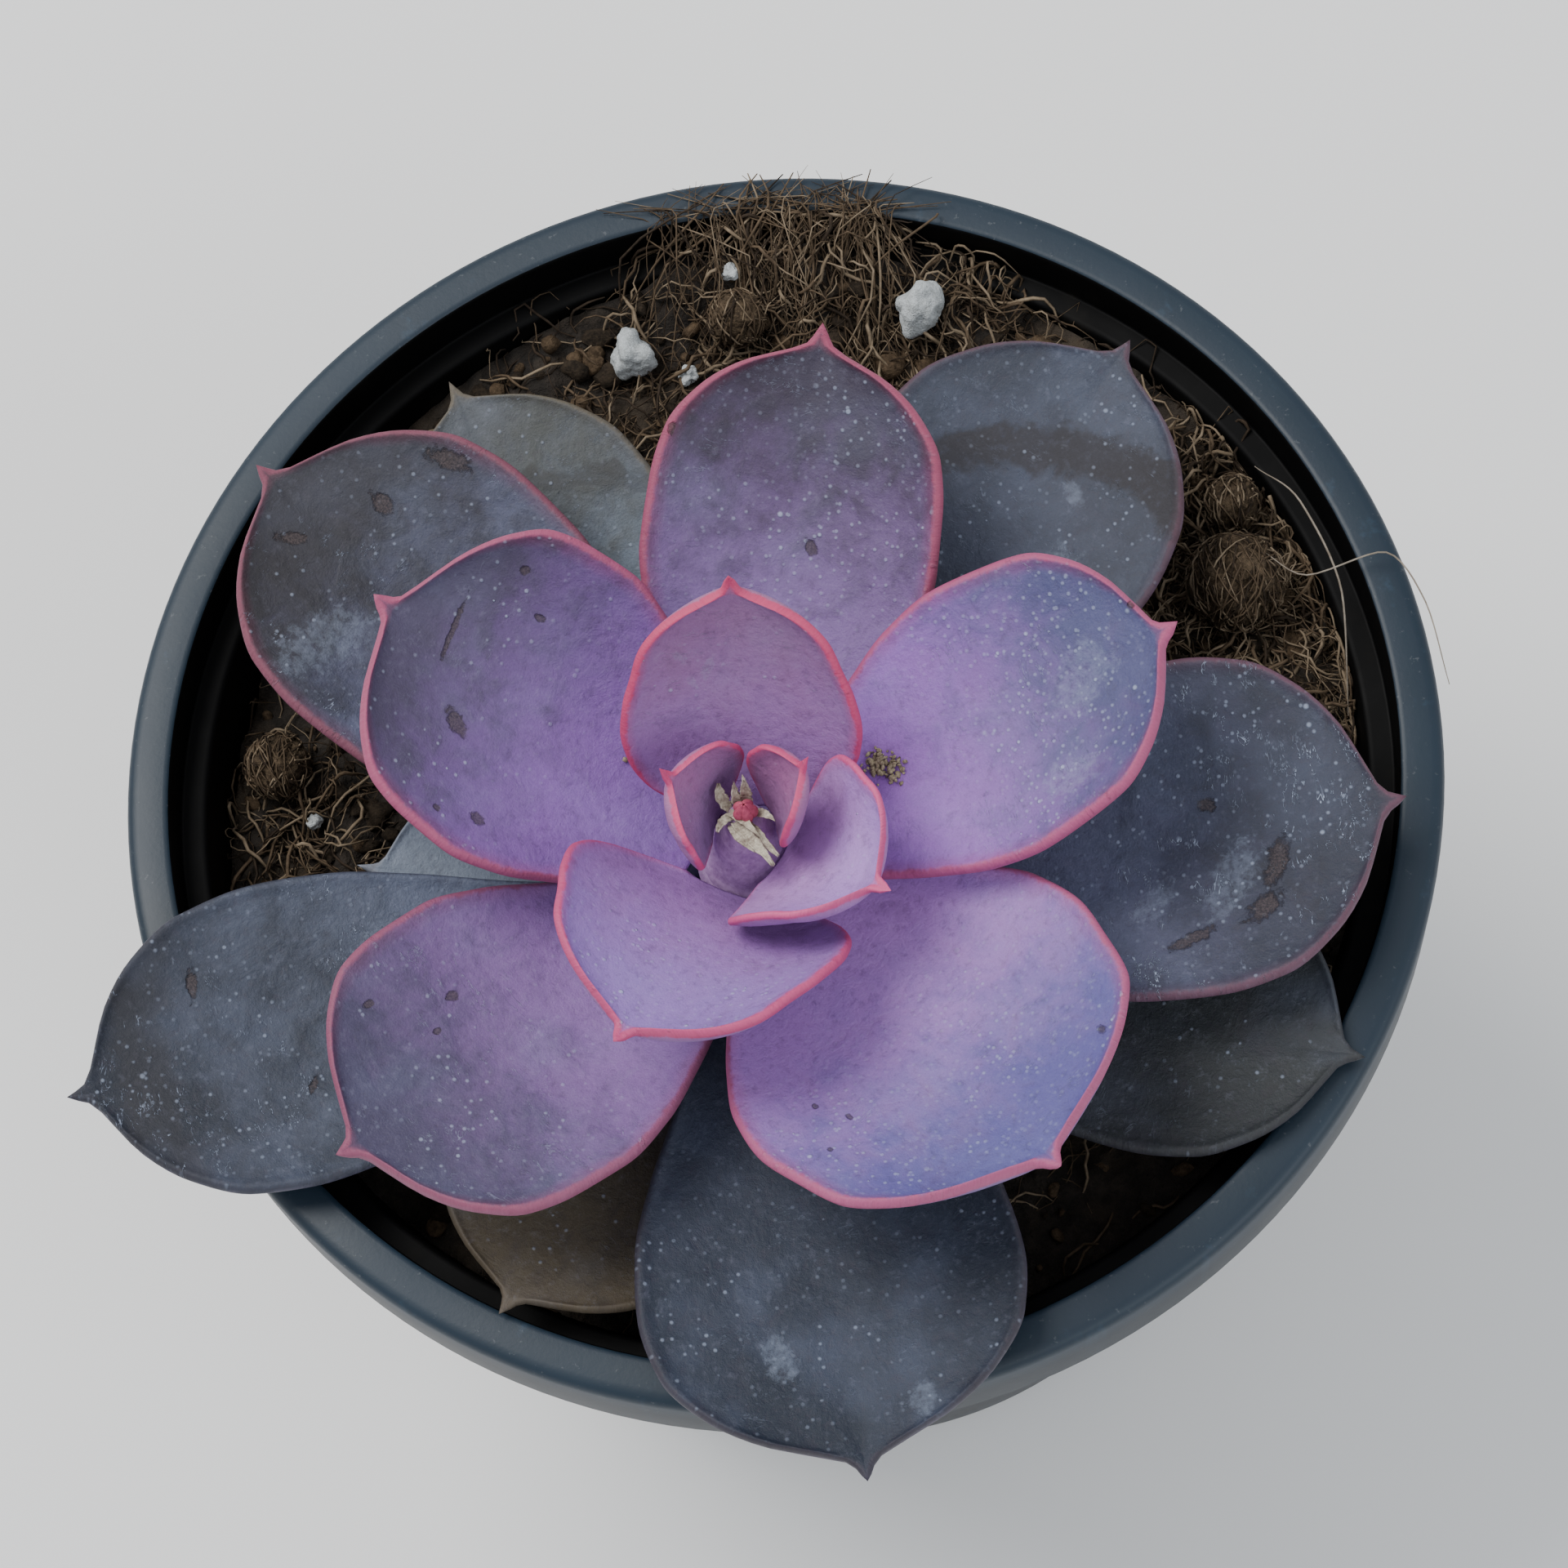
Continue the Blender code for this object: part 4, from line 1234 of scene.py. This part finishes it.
class Blade:
    """The surface of one leaf, read at shares of its length and places across it."""

    def __init__(self, index, steps=240):
        self.name, heading, length, width, thickness, pitch_0, pitch_1, cup, sway, roll, shape = LEAVES[index]
        self.length = length * MM
        self.seed = Vector((index * 7.3, index * 3.1, 5.7))
        self.thickness = thickness * MM
        self.cup = math.radians(cup)
        blade = 1 - TIP_LENGTH / self.length
        shares = np.array([station[0] for station in STATIONS])
        depth = np.array([station[4] for station in STATIONS])
        half = np.array([np.interp(shape, (0, 1, 2), station[1:4]) for station in STATIONS]) * width * MM / 2
        self.shares = np.append(shares * blade, (1 - 0.72 * (1 - blade), 1 - 0.35 * (1 - blade), 1))
        self.half = np.append(half, (half[-1] * 0.52, half[-1] * 0.24, 0))
        self.depth = np.append(depth, (0.10, 0.05, 0))
        self.grid = np.linspace(0, 1, steps + 1)
        height = TOP_LEAF_HEIGHT - index * LEAF_STEP
        middle = (self.grid[1:] + self.grid[:-1]) / 2
        self.heading, self.sway = heading, sway
        self.pitch = (pitch_0, pitch_1)
        self.roll = roll
        start = stem_centre(height) + polar(heading, stem_radius(height) + GAP)
        moves = self.direction(middle) * self.length / steps
        self.points = np.array(start) + np.vstack((np.zeros(3), np.cumsum(moves, axis=0)))

    def direction(self, share):
        turn = np.radians(self.heading + self.sway * share)
        rise = np.radians(self.pitch[0] + (self.pitch[1] - self.pitch[0]) * share)
        return np.stack((np.cos(turn) * np.cos(rise), np.sin(turn) * np.cos(rise), np.sin(rise)), axis=-1)

    def frame_at(self, share):
        """Midrib point, side and normal."""
        point = np.stack([np.interp(share, self.grid, self.points[:, k]) for k in range(3)], axis=-1)
        along = self.direction(share)
        turn = np.radians(self.heading + self.sway * share)
        side = np.stack((-np.sin(turn), np.cos(turn), np.zeros_like(turn)), axis=-1)
        roll = np.radians(self.roll * share)[..., None]
        side = side * np.cos(roll) + np.cross(along, side) * np.sin(roll)
        return point, side, np.cross(along, side)

    def surface(self, share, across, under, rim_radius, rim_rise):
        """Points of the upper or the under side, and their distance from the margin."""
        half = np.maximum(smooth_curve(self.shares, self.half, share), 0)
        depth = smooth_curve(self.shares, self.depth, share) * self.thickness
        bend = self.cup * (0.35 + 0.65 * np.sin(np.pi / 2 * np.minimum(1, share / 0.6)))
        point, side, normal = self.frame_at(share)
        turn = bend * across
        radius = half / bend
        up = normal * np.cos(turn)[..., None] - side * np.sin(turn)[..., None]
        base = point + side * (radius * np.sin(turn))[..., None]
        base = base + normal * (radius * (1 - np.cos(turn)))[..., None]
        margin = (1 - np.abs(across)) * half
        edge = np.minimum(rim_radius, half)
        inside = np.maximum(0, edge - margin)
        round_edge = np.sqrt(np.maximum(0, edge ** 2 - inside ** 2))
        bead = rim_rise * np.exp(-(((margin - 0.5 * MM) / (0.55 * MM)) ** 2)) * np.minimum(1, half / (3 * MM))
        groove = 0.25 * MM * np.exp(-((across / 0.10) ** 2)) * np.clip((share - 0.45) / 0.5, 0, 1)
        swell = (1 - np.abs(across) ** 2.2) * depth
        bead = bead * round_edge / np.maximum(edge, 1e-9)
        top = round_edge - edge + bead - groove * np.minimum(1, half / (6 * MM))
        bottom = -round_edge - edge - np.minimum(swell, half * 0.9)
        lift = np.where(under > 0.5, bottom, top)
        return base + up * lift[..., None], margin, half


def build_leaf(index, settings, material):
    """A leaf: a sheet for its upper side and one for its underside, joined along the margin."""
    blade = Blade(index)
    bm = bmesh.new()
    blade_layer = bm.verts.layers.float_vector.new("blade")
    under_layer = bm.verts.layers.float.new("under")
    bmesh.ops.create_grid(bm, x_segments=BLADE_STEPS, y_segments=ACROSS_STEPS, size=1)
    copy = bmesh.ops.duplicate(bm, geom=bm.verts[:] + bm.edges[:] + bm.faces[:])["geom"]
    for item in copy:
        if isinstance(item, bmesh.types.BMVert):
            item[under_layer] = 1
    grid = np.array([(vert.co.x, vert.co.y, vert[under_layer]) for vert in bm.verts])
    share = (grid[:, 0] + 1) / 2
    share = share + 0.045 * np.sin(2 * np.pi * share) * (share > 0.5)
    share = np.clip(share, 0, 1)
    across = np.sign(grid[:, 1]) * (1 - (1 - np.abs(grid[:, 1])) ** 1.7)
    under = grid[:, 2]
    growth = min(1.0, blade.length / (40 * MM))
    rim_radius = settings.rim_radius * (0.4 + 0.6 * growth)
    points, margin, half = blade.surface(share, across, under, rim_radius, settings.rim_rise * growth)
    _, _, normals = blade.frame_at(share)
    wave = np.array([noise.noise(Vector(point) * 75 + blade.seed) for point in points])
    ripple = np.array([noise.noise(Vector(point) * 240 + blade.seed) for point in points])
    lift = (0.45 * wave * (0.3 + 0.7 * np.abs(across)) + 0.08 * ripple) * MM * np.minimum(1, half / (6 * MM))
    lift *= growth ** 2
    points = points + normals * lift[:, None]
    places = np.stack((share * blade.length, across * half, margin), axis=-1) / MM
    for vert, point, place in zip(bm.verts, points, places):
        vert.co = point
        vert[blade_layer] = place
    bmesh.ops.remove_doubles(bm, verts=bm.verts, dist=0.0002 * MM)
    bmesh.ops.holes_fill(bm, edges=[edge for edge in bm.edges if edge.is_boundary])
    bmesh.ops.recalc_face_normals(bm, faces=bm.faces)
    return finish_piece(f"{blade.name}_blade", bm, material, (blade.name,))


class SUCCULENT_OT_leaves(bpy.types.Operator):
    """Grow every leaf of the rosette"""

    bl_idname = "succulent.leaves"
    bl_label = "Leaves"

    def execute(self, context):
        settings = context.scene.succulent_leaf
        skin, spot = leaf_skin_group(), spot_group()
        for index, leaf in enumerate(LEAVES):
            material = leaf_material(leaf[0], leaf[2], skin, spot, 37.0 * index)
            build_leaf(index, settings, material)
        return {"FINISHED"}


# Shreds of the dry bracts at the heart: place beside the stem's tip, heading, length,
# half-width, start pitch, end pitch, curl
BRACTS = (
    (
        (0.2, 1.3, 75, 3.6, 0.34, 84, 60, 30),
        (-0.5, 0.9, 120, 2.8, 0.26, 80, 45, -30),
        (0.7, 0.4, 350, 3.2, 0.30, 60, 10, -40),
    ),
    (
        (-1.3, 0.9, 150, 2.6, 0.36, 60, 0, -60),
        (-1.0, 0.2, 200, 2.4, 0.26, 50, -10, 60),
        (-0.6, 1.4, 100, 3.4, 0.24, 82, 66, 0),
    ),
    (
        (-0.9, -0.3, 305, 6.4, 0.38, 48, -14, 6),
        (-0.4, -0.9, 312, 5.6, 0.28, 52, -10, -10),
        (0.2, -0.4, 300, 4.8, 0.32, 44, -16, 18),
        (-1.2, -0.6, 290, 4.4, 0.26, 50, 5, 30),
        (-1.4, 0.6, 318, 5.0, 0.30, 55, 0, -8),
    ),
)


def add_shred(bm, x, y, heading, length, half, pitch_0, pitch_1, curl):
    """Appends one ragged, folded strip that starts beside the stem's tip."""
    made = bmesh.ops.create_grid(bm, x_segments=26, y_segments=8, size=1)["verts"]
    place = stem_centre(TOP_LEAF_HEIGHT + 1.5 * MM) + Vector((x, y, 0.4)) * MM
    last = 0.0
    for vert in sorted(made, key=lambda item: item.co.x):
        share, side = (vert.co.x + 1) / 2, vert.co.y
        turn = math.radians(heading + curl * share)
        rise = math.radians(pitch_0 + (pitch_1 - pitch_0) * share)
        along = Vector((math.cos(turn) * math.cos(rise), math.sin(turn) * math.cos(rise), math.sin(rise)))
        place += along * length * MM * (share - last)
        last = share
        across = Vector((-math.sin(turn), math.cos(turn), 0))
        wide = half * MM * (0.45 + 0.9 * math.sin(math.pi * min(1, share * 0.85 + 0.15))) * (1 - share ** 6)
        ragged = 1 + 0.5 * noise.noise(Vector((share * 9, side * 2, heading)))
        fold = along.cross(across) * abs(side) ** 1.5 * 0.45 * half * MM
        vert.co = place + across * side * wide * ragged + fold


BUD_SHARE = 0.72
BUD_SHIFT = Vector((-0.4, 0, -0.6)) * MM


class SUCCULENT_OT_heart(bpy.types.Operator):
    """Model the stem, the bud and the dry bracts at the heart of the rosette"""

    bl_idname = "succulent.heart"
    bl_label = "Heart"

    def execute(self, context):
        flesh = coarse_material("Stem flesh")
        low, high = (Vector(corner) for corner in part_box("stem"))
        profile = []
        for i in range(61):
            height = low.z + (high.z - low.z) * i / 60
            ring = 1 + 0.05 * math.cos((height - TOP_LEAF_HEIGHT) / LEAF_STEP * 2 * math.pi)
            profile.append(Vector((stem_radius(height) * ring, 0, height)))
        bm = turn_solid([Vector((0, 0, low.z))] + profile + [Vector((0, 0, high.z))], 40)
        for vert in bm.verts:
            centre = stem_centre(vert.co.z)
            push = 1 + 0.05 * noise.noise(vert.co * 500)
            vert.co = Vector((vert.co.x * push + centre.x, vert.co.y * push + centre.y, vert.co.z))
        finish_piece("leafy_stem", bm, flesh, ("stem",))

        pink = coarse_material("Bud skin")
        low, high = (Vector(corner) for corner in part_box("flower_bud"))
        bm = bmesh.new()
        for i in range(5):
            turn = math.radians(72 * i)
            made = bmesh.ops.create_uvsphere(bm, u_segments=20, v_segments=14, radius=1)["verts"]
            for vert in made:
                x, y, z = vert.co
                slim = 1 - 0.55 * max(0, z)
                out = Vector((0.34 * math.cos(turn), 0.34 * math.sin(turn), 0)) * (1 - 0.75 * max(0, z))
                vert.co = Vector((0.30 * x * slim, 0.30 * y * slim, 0.48 * z)) + out
        centre, size = (low + high) / 2, high - low
        for vert in bm.verts:
            vert.co = vert.co * size * BUD_SHARE + centre + BUD_SHIFT
        finish_piece("flower_bud_head", bm, pink, ("flower_bud",))

        straw = coarse_material("Dry bract")
        for i, shreds in enumerate(BRACTS, 1):
            bm = bmesh.new()
            for shred in shreds:
                add_shred(bm, *shred)
            bmesh.ops.solidify(bm, geom=bm.faces[:], thickness=0.14 * MM)
            bmesh.ops.recalc_face_normals(bm, faces=bm.faces)
            finish_piece(f"dry_bract_blade_{i}", bm, straw, (f"dry_bract_{i}",))
        return {"FINISHED"}


class SUCCULENT_OT_dust(bpy.types.Operator):
    """Drop the crumbs that lie on the leaves beside the heart"""

    bl_idname = "succulent.dust"
    bl_label = "Crumbs on leaves"

    def execute(self, context):
        settings = context.scene.succulent_leaf
        rng = random.Random(5)
        tan = coarse_material("Leaf crumbs")
        bm = bmesh.new()
        names = [leaf[0] for leaf in LEAVES]
        for name, along, across, count in DUST_SPOTS:
            blade = Blade(names.index(name))
            for _ in range(count):
                share = np.array([along + rng.gauss(0, 0.016)])
                side = np.array([across + rng.gauss(0, 0.055)])
                point, _, _ = blade.surface(share, side, np.zeros(1), settings.rim_radius, settings.rim_rise)
                size = rng.uniform(0.10, 0.30) * MM
                lift = Vector((0, 0, size * rng.uniform(0.3, 1.8)))
                add_lump(bm, Vector(point[0]) + lift, size, rng, 1, 0.6)
        finish_piece("leaf_crumbs", bm, tan)
        return {"FINISHED"}


# ---------------------------------------------------------------- stage


CAMERA_DISTANCE = 360 * MM
FOCAL_LENGTH = 91.1
SENSOR = 36.0
CAMERA_ROLL = math.radians(12.4)
AIM = (0.59 * MM, 2.37 * MM)


def area_light(name, place, target, size, power, colour):
    data = bpy.data.lights.new(name, "AREA")
    data.shape = "DISK"
    data.size = size
    data.energy = power
    data.color = colour
    light = bpy.data.objects.new(name, data)
    light.location = place
    light.rotation_euler = (Vector(target) - Vector(place)).to_track_quat("-Z", "Y").to_euler()
    bpy.context.collection.objects.link(light)


class SUCCULENT_OT_stage(bpy.types.Operator):
    """Set the floor, the lights and the camera"""

    bl_idname = "succulent.stage"
    bl_label = "Stage"

    def execute(self, context):
        settings = context.scene.succulent_stage
        bm = bmesh.new()
        bmesh.ops.create_grid(bm, x_segments=1, y_segments=1, size=6)
        mesh = bpy.data.meshes.new("floor")
        bm.to_mesh(mesh)
        bm.free()
        floor = bpy.data.objects.new("floor", mesh)
        bpy.context.collection.objects.link(floor)
        material, tree, shader = new_material("Floor paint")
        shader.inputs["Base Color"].default_value = (*settings.floor_colour, 1)
        shader.inputs["Roughness"].default_value = 0.9
        mesh.materials.append(material)

        world = bpy.data.worlds.new("Studio")
        world.use_nodes = True
        background = world.node_tree.nodes["Background"]
        background.inputs["Color"].default_value = (0.93, 0.96, 1.0, 1)
        background.inputs["Strength"].default_value = 0.75
        context.scene.world = world
        area_light("key", (-0.45, 0.25, 0.9), (0, 0, 0.09), 0.6, 9, (1.0, 0.98, 0.95))
        area_light("fill", (0.7, -0.5, 0.7), (0, 0, 0.09), 0.8, 4, (0.92, 0.96, 1.0))

        e, a, r = settings.elevation, settings.azimuth, CAMERA_ROLL
        back = Vector((math.sin(a) * math.cos(e), -math.cos(a) * math.cos(e), math.sin(e)))
        up = Vector((-math.sin(a) * math.sin(e), math.cos(a) * math.sin(e), math.cos(e)))
        right = up.cross(back)
        turned_right = right * math.cos(r) - up * math.sin(r)
        turned_up = right * math.sin(r) + up * math.cos(r)
        aim = turned_right * AIM[0] - turned_up * AIM[1] + Vector((0, 0, POT_HEIGHT))
        data = bpy.data.cameras.new("camera")
        data.lens = FOCAL_LENGTH
        data.sensor_width = SENSOR
        data.clip_start = 0.01
        camera = bpy.data.objects.new("camera", data)
        axes = Matrix((turned_right, turned_up, back)).transposed().to_4x4()
        camera.matrix_world = Matrix.Translation(aim + back * CAMERA_DISTANCE) @ axes
        context.collection.objects.link(camera)
        context.scene.camera = camera
        return {"FINISHED"}


class SUCCULENT_PT_panel(bpy.types.Panel):
    """The steps that build the plant"""

    bl_idname = "SUCCULENT_PT_panel"
    bl_label = "Succulent"
    bl_space_type = "VIEW_3D"
    bl_region_type = "UI"
    bl_category = "Succulent"

    def draw(self, context):
        for name in ("succulent_pot", "succulent_medium", "succulent_leaf", "succulent_stage"):
            settings = getattr(context.scene, name)
            for key in settings.__annotations__:
                self.layout.prop(settings, key)
        for operator in OPERATORS:
            self.layout.operator(operator.bl_idname)


OPERATORS = (
    SUCCULENT_OT_pot,
    SUCCULENT_OT_medium,
    SUCCULENT_OT_litter,
    SUCCULENT_OT_grains,
    SUCCULENT_OT_leaves,
    SUCCULENT_OT_heart,
    SUCCULENT_OT_dust,
    SUCCULENT_OT_stage,
)
SETTINGS = {
    "succulent_pot": PotSettings,
    "succulent_medium": MediumSettings,
    "succulent_leaf": LeafSettings,
    "succulent_stage": StageSettings,
}
CLASSES = (*SETTINGS.values(), *OPERATORS, SUCCULENT_PT_panel)


def register():
    for cls in CLASSES:
        bpy.utils.register_class(cls)
    for name, group in SETTINGS.items():
        setattr(bpy.types.Scene, name, PointerProperty(type=group))


def unregister():
    for name in SETTINGS:
        delattr(bpy.types.Scene, name)
    for cls in reversed(CLASSES):
        bpy.utils.unregister_class(cls)


def main():
    register()
    for operator in OPERATORS:
        family, name = operator.bl_idname.split(".")
        getattr(getattr(bpy.ops, family), name)()
    bpy.context.view_layer.update()


if __name__ == "__main__":
    main()
